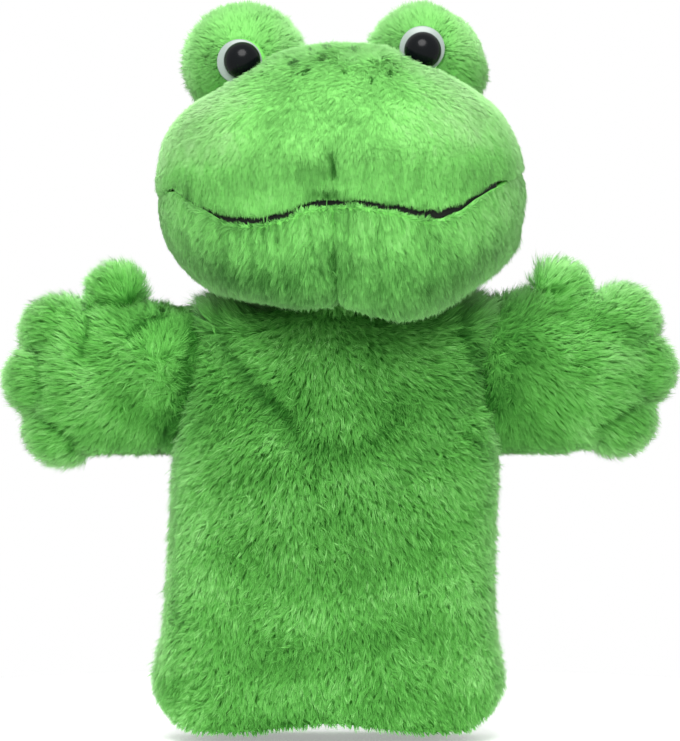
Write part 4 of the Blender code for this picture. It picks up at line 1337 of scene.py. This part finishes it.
print("eye mounds", (2000 * MOUND_SIZE).round(1), "mm")

# %% [markdown]
# ## Eye mounds
# Each mound is a stuffed ball covered in the head's plush, with longer pile that is brushed away from its
# eye. The pile is cut short round the eye so that the plastic shows, and it lies flat on the outer shoulder
# of one mound.

# %% Eye mounds
EYE_SEAT_Y, WHITE_RADIUS = -0.0040, 0.0077
MOUND_LENGTH, MOUND_LEAN = 0.0050, 0.58
MOUND_TUFTS = (0.0011, 0.24, 0.06, 0.20)
MOUND_TONE, EYE_SHADE, MOUND_RIM_LIGHT, MOUND_SIDE_LIGHT = 0.46, 0.10, 0.20, 0.12
FLATTENED_WAY = np.array((0.75, 0.0, 0.66))


def dress_mound(label, side, eye):
    """A mound's cloth and pile. eye is the middle of the eye that it holds."""
    centre = mound_centre(side)
    outer = ball_grid(centre, MOUND_SIZE - SKIN)
    inner = ball_grid(centre, MOUND_SIZE - PLUSH)
    skin = panel(f"{label}_eye_mound_plush", outer, inner, HEAD_CLOTH, wrap=True)
    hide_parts(f"{label}_eye_mound")
    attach(skin, "head")
    roots = spread(outer, HEAD_DENSITY, 1)
    straight = upright(roots["place"])
    roots = keep_roots(roots, ~inside_head(straight, 0.0005) & (near_eye(straight) > WHITE_RADIUS - 0.0006))
    straight = upright(roots["place"])
    away = straight - (eye + (0, EYE_SEAT_Y, 0))
    brushed = unit(away) + np.array((0, 0.2, -0.2))
    brushed += 0.25 * rippled_ways(roots["place"], 0.012, 50)
    rim = 1 - smooth_step(np.linalg.norm(away, axis=-1), WHITE_RADIUS, WHITE_RADIUS + 0.005)
    length = MOUND_LENGTH * (1 - 0.45 * rim)
    if side > 0:
        length *= 1 - 0.5 * smooth_step(roots["normal"] @ FLATTENED_WAY, 0.55, 0.90)
    # Painted shade round the eye, painted light at the rims and on the +X side of the eye.
    tone = MOUND_TONE + 0.05 * ripple(roots["place"], 0.014, 9) - EYE_SHADE * rim
    tone = tone + MOUND_RIM_LIGHT * turned_aside(roots)
    tone += MOUND_SIDE_LIGHT * smooth_step(straight[:, 0] - eye[0], 0.004, 0.012)
    pile = grow(
        f"{label}_eye_pile", roots, brushed, length, HEAD_WIDTH, MOUND_LEAN, tone, HEAD_PILE, *MOUND_TUFTS
    )
    ride_all(pile, "head")
    print(label, "eye mound:", len(brushed), "blades")


print("mound pile", 1000 * MOUND_LENGTH, "mm long")

# %% [markdown]
# ## Eyes
# A toy's eye is a polished black dome with a stem, on a pale disc, locked by a washer inside the mound.
# Each is turned from its own profile. The discs sit a little off centre, as they do in the photo.

# %% Eyes
EYE_RADIUS, EYE_DOME = 0.0063, 0.0052
STEM_RADIUS, STEM_LENGTH, STEM_HOLE = 0.0020, 0.0102, 0.0023
WASHER_Y, WASHER_RADIUS, WASHER_BOSS = 0.0090, 0.0046, 0.0028
DISC_SHIFT = {"left": np.array((-0.0010, 0, -0.0004)), "right": np.array((-0.0002, 0, 0.0006))}
BLACK = plain("eye_black", (0.0030, 0.0040, 0.0050), 0.20)
BLACK.node_tree.nodes["Principled BSDF"].inputs["Specular IOR Level"].default_value = 0.12
# The disc's colour is a white darkened with painted shade, for the pile round it that shades it.
SHADED_WHITE = plain("eye_white", (0.30, 0.36, 0.33), 0.35)
PLASTIC = plain("washer_plastic", (0.70, 0.70, 0.68), 0.45)


def dress_eye(label, eye):
    """The disc, dome and washer of one eye."""
    seat = EYE_SEAT_Y - 0.0003
    disc = [(STEM_HOLE, seat), (WHITE_RADIUS - 0.0006, seat), (WHITE_RADIUS, seat - 0.0004)]
    disc += [(WHITE_RADIUS, seat - 0.0008), (WHITE_RADIUS - 0.0004, seat - 0.0012)]
    disc.append((STEM_HOLE, seat - 0.0009))
    white = turned(f"{label}_eye_disc", disc, eye + DISC_SHIFT[label], SHADED_WHITE)
    base = seat - 0.0012
    dome = [(STEM_RADIUS, EYE_SEAT_Y + STEM_LENGTH), (STEM_RADIUS, base), (EYE_RADIUS - 0.0002, base)]
    for angle in np.radians(np.linspace(4, 88, 15)):
        dome.append((EYE_RADIUS * math.cos(angle), base - EYE_DOME * math.sin(angle)))
    black = turned(f"{label}_eye_dome", dome, eye, BLACK)
    flat = EYE_SEAT_Y + WASHER_Y
    ring = [(STEM_HOLE, flat), (WASHER_RADIUS, flat), (WASHER_RADIUS, flat + 0.0007)]
    ring += [(WASHER_BOSS, flat + 0.0014), (STEM_HOLE, flat + 0.0014)]
    washer = turned(f"{label}_eye_lock", ring, eye, PLASTIC, 32)
    for obj, node, slot in (
        (white, "eye_white", "eye_white"),
        (black, "eye", "eye_black"),
        (washer, "eye_washer", "washer"),
    ):
        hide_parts(f"{label}_{node}")
        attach(obj, "head")


for label, side in (("left", -1), ("right", 1)):
    eye = np.array((side * EYE_SPREAD + NECK_SHIFT, 0.0, EYE_Z))
    dress_mound(label, side, eye)
    dress_eye(label, eye)
print("eyes", round(2000 * EYE_RADIUS, 1), "mm across")

# %% [markdown]
# ## The arms' pile
# An arm's pile falls away from a point near the shoulder, outwards and a little down. It has painted shade
# in the armhole and painted light towards the toes. The sleeve and the paw use the same sums, so that no
# step shows where they meet.

# %% The arms' pile
ARM_DENSITY, ARM_LENGTH, ARM_WIDTH = 9.5, 0.0060, 0.00021
ARM_HEART = {-1: np.array((-0.0636, 0.0, 0.1265)), 1: np.array((0.0560, 0.0, 0.1357))}
ARM_RAISED, THUMB_SHADE = {-1: 0.0, 1: 1.0}, {-1: 0.07, 1: -0.16}
SLEEVE_SHADE = {-1: 0.02, 1: 0.08}
HEART_LIGHT, HEART_REACH = {-1: 0.15, 1: 0.0}, 0.010
ARM_TUFTS = (0.0009, 0.24, 0.18, 0.8)
ARM_TONE, TOE_LIGHT, ARM_RIPPLE = 0.33, 0.22, 0.08
ARM_LEAN, RAISED_LEAN, RAISED_LONGER = 0.98, 0.7, 0.6


def arm_flow(place, side):
    """The way an arm's pile is brushed: away from a heart near the shoulder, outwards and a little down."""
    away = (place - ARM_HEART[side]) * (1, 0.2, 1)
    away = away / (np.linalg.norm(away, axis=-1, keepdims=True) + 0.008) + np.array((0.25 * side, 0, -0.1))
    return away + 0.2 * rippled_ways(place, 0.02, 60)


def flat_below(roots):
    """How much of its length the pile keeps: less where it hangs under the arm."""
    return 1 - 0.3 * smooth_step(-roots["normal"][:, 2], 0.5, 0.9)


def arm_tone(place, side):
    """Painted shade in the armhole, painted light near the toes and round the heart, where the pile opens.
    """
    along = smooth_step(side * place[:, 0], 0.054, 0.086)
    away = np.linalg.norm((place - ARM_HEART[side]) * (1, 0, 1), axis=-1)
    tone = ARM_TONE + TOE_LIGHT * along - SLEEVE_SHADE[side] * (1 - along)
    tone = tone + ARM_RIPPLE * ripple(place, 0.014, 13)
    return tone + HEART_LIGHT[side] * np.exp(-((away / HEART_REACH) ** 2))


print("arm pile", 1000 * ARM_LENGTH, "mm long")

# %% [markdown]
# ## Sleeves
# A sleeve is a soft tube from the armhole to the cuff. It is cut at the shoulder's pivot into two short
# tubes, the inner one from the glove to the shoulder and the outer one from the shoulder to the paw.

# %% Sleeves
SLEEVE_SEAT, SLEEVE_START = 0.0012, 0.0480


def body_side(y, z):
    """How far the body's surface reaches sideways at a depth and height."""
    heights, widths, fronts, backs = read_sections(BODY_SECTIONS, np.linspace(0, 1, 400)).T
    depth = np.where(y < 0, np.interp(z, heights, fronts), np.interp(z, heights, backs))
    rest = np.clip(1 - (np.abs(y) / depth) ** BODY_ROUNDNESS, 0, 1)
    return np.interp(z, heights, widths) * rest ** (1 / BODY_ROUNDNESS)


def sleeve_grid(side, inner_half, shrink, rows=14, columns=72):
    """Points round a sleeve, from the armhole to the pivot or from the pivot to the cuff."""
    up, across = shares(rows, columns)
    turn = 2 * math.pi * across
    pinch = 0.93 + 0.07 * up if inner_half else 1.0
    y = (ARM_DEPTH * pinch - shrink) * np.cos(turn)
    z = ARM_Z + (ARM_HEIGHT - shrink) * np.sin(turn)
    seat = np.maximum(body_side(y, z) + side * body_shift(z) - SLEEVE_SEAT, SLEEVE_START)
    start, end = (seat, SHOULDER_X + 0 * z) if inner_half else (SHOULDER_X + 0 * z, cuff_x(z))
    return np.stack([side * (start + up * (end - start)), y, z], axis=-1)


def dress_sleeve(label, side, half):
    """One half of a sleeve, with its pile."""
    outer = sleeve_grid(side, half == "inner", SKIN)
    inner = sleeve_grid(side, half == "inner", PLUSH)
    tube = panel(f"{label}_sleeve_{half}", outer, inner, BODY_CLOTH, wrap=True)
    roots = spread(outer, ARM_DENSITY, side)
    place, upward = roots["place"], roots["normal"][:, 2]
    brushed = arm_flow(place, side)
    crease_shade = crease_shading(roots, brushed, 0.5 * ARM_LENGTH, CREASE_AND_SHADOW_LINES)
    # Painted light at the rims, painted shade in the creases.
    tone = arm_tone(place, side) + 0.20 * turned_aside(roots) - crease_shade
    raised = ARM_RAISED[side] * smooth_step(upward, 0.4, 0.9)
    raised = raised * smooth_step(side * place[:, 0], 0.046, 0.064)
    length = ARM_LENGTH * (1 - 0.8 * crease_shade) * (1 + RAISED_LONGER * raised) * flat_below(roots)
    lowered = (1 - ARM_RAISED[side]) * smooth_step(upward, 0.3, 0.8)
    length *= 1 - 0.6 * lowered * (1 - smooth_step(side * place[:, 0], 0.054, 0.064))
    lean = ARM_LEAN - RAISED_LEAN * raised
    pile = grow(
        f"{label}_sleeve_{half}_pile", roots, brushed, length, ARM_WIDTH, lean, tone, BODY_PILE, *ARM_TUFTS
    )
    for obj in (tube, *pile):
        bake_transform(obj)
    if half == "outer":
        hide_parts(f"{label}_sleeve")


# %% [markdown]
# ## Paws
# A paw is sewn from a front and a back and lightly stuffed. Its pile is short and in painted shade in the
# creases between the toes, and painted light makes it paler round its rim, where the blades are seen
# along their length. Each arm is dressed from the shoulder out.

# %% Paws
PAW_RINGS, PAW_POINTS = 40, 181
PAW_RIM_LIGHT, PAW_RIM_RISE = 0.55, 0.25


def dress_paw(label, side, name, face):
    """The front (face -1) or the back (face 1) of a paw."""
    outer = paw_grid(side, face, SKIN, PAW_RINGS, PAW_POINTS)
    inner = paw_grid(side, face, PLUSH, PAW_RINGS, PAW_POINTS)
    paw = panel(f"{label}_paw_{name}", outer, inner, BODY_CLOTH, wrap=True)
    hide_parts(f"{label}_arm_{name}")
    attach(paw, f"{label}_arm")
    roots = spread(outer, ARM_DENSITY, -side * face)
    place = roots["place"]
    roots = keep_roots(roots, side * place[:, 0] > cuff_x(place[:, 2]) + 0.0004)
    place = roots["place"]
    brushed = arm_flow(place, side)
    crease_shade = crease_shading(roots, brushed, 0.5 * ARM_LENGTH, CREASE_AND_SHADOW_LINES)
    edge = 1 - smooth_step(roots["edge"][0], 0.0, 0.009)
    edge *= smooth_step(side * place[:, 0] - cuff_x(place[:, 2]), 0.003, 0.014)
    raised = ARM_RAISED[side] * smooth_step(roots["normal"][:, 2], 0.4, 0.9)
    raised = raised * (1 - smooth_step(side * place[:, 0], 0.067, 0.073))
    length = ARM_LENGTH * (1 - 0.05 * edge) * (1 - 0.8 * crease_shade) * (1 + RAISED_LONGER * raised)
    length *= 1 - (1 - flat_below(roots)) * (1 - smooth_step(side * place[:, 0], 0.078, 0.088))
    # Painted light at the rim, painted shade in creases and on the left thumb, painted light on the right
    # thumb.
    tone = arm_tone(place, side) + PAW_RIM_LIGHT * edge - crease_shade
    tone -= THUMB_SHADE[side] * smooth_step(place[:, 2], 0.141, 0.152)
    lean = ARM_LEAN - PAW_RIM_RISE * edge - RAISED_LEAN * raised
    pile = grow(
        f"{label}_paw_{name}_pile", roots, brushed, length, ARM_WIDTH, lean, tone, BODY_PILE, *ARM_TUFTS
    )
    ride_all(pile, f"{label}_arm")


for label, side in (("left", -1), ("right", 1)):
    dress_sleeve(label, side, "inner")
    dress_sleeve(label, side, "outer")
    dress_paw(label, side, "front", -1)
    dress_paw(label, side, "back", 1)
    print(label, "arm dressed")

# %% [markdown]
# ## Neck
# A soft ring of cloth joins body and head. It is cut at the pivot into a lower and an upper half, as the
# sleeves are.

# %% Neck
NECK_WIDTH, NECK_DEPTH, NECK_LOW, NECK_HIGH = 0.0285, 0.0188, 0.1465, 0.1560
NECK_CLOTH, NECK_PILE, NECK_LEAN, NECK_TONE, NECK_BEND_TOP = 0.003, 0.0045, 0.8, 0.4, 0.1545


def neck_grid(lower, cloth, rows=8, columns=72):
    """Points round one half of the neck ring, sunk by cloth."""
    up, across = shares(rows, columns)
    turn = 2 * math.pi * across
    x, y = (NECK_WIDTH - cloth) * np.sin(turn), -(NECK_DEPTH - cloth) * np.cos(turn)
    middle = NECK_PIVOT[2] + 0 * x
    top = NECK_HIGH - math.tan(HEAD_ROLL) * x
    start, end = (NECK_LOW + 0 * x, middle) if lower else (middle, top)
    return np.stack([x + NECK_SHIFT, y, start + up * (end - start)], axis=-1)


for half, first, second in (("lower", "glove", "neck"), ("upper", "neck", "head")):
    lower = half == "lower"
    outer = neck_grid(lower, 0.0)
    tube = panel(f"neck_{half}", outer, neck_grid(lower, NECK_CLOTH), BODY_CLOTH, wrap=True)
    roots = spread(outer, BODY_DENSITY, 1)
    brushed = np.array((0, 0, -1.0)) + 0 * roots["place"]
    pile = grow(f"neck_{half}_pile", roots, brushed, NECK_PILE, BODY_WIDTH, NECK_LEAN, NECK_TONE, BODY_PILE)
    for obj in (tube, *pile):
        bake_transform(obj)
    if lower:
        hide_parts("neck_sleeve")
print("neck in place")

# %% [markdown]
# ## Inside
# The filling and the finger pocket show only through the hand opening, so modelling them again isn't worth
# it. They take the solids' shapes, smoothed once.


# %% Inside
def softened(node, name, material):
    """A smoothed copy of a solid."""
    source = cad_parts[node]
    mesh = source.data.copy()
    mesh.transform(source.matrix_world)
    mesh.materials.clear()
    mesh.materials.append(material)
    mesh.shade_smooth()
    obj = bpy.data.objects.new(name, mesh)
    scene.collection.objects.link(obj)
    rounder = obj.modifiers.new("rounder", "SUBSURF")
    rounder.levels = rounder.render_levels = 1
    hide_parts(node)
    return obj


FIBRE = plain("fibre", (0.80, 0.79, 0.75), 1.0, 0.3)
POCKET = plain("pocket_cloth", (0.050, 0.220, 0.040), 0.85)
for node, body in (
    ("head_filling", "head"),
    ("left_eye_filling", "head"),
    ("right_eye_filling", "head"),
    ("left_toe_filling", "left_arm"),
    ("right_toe_filling", "right_arm"),
):
    obj = softened(node, node + "_fibre", FIBRE)
    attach(obj, body)
pocket = softened("finger_pocket", "finger_pocket_cloth", POCKET)
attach(pocket, "head")
print("inner pieces softened")
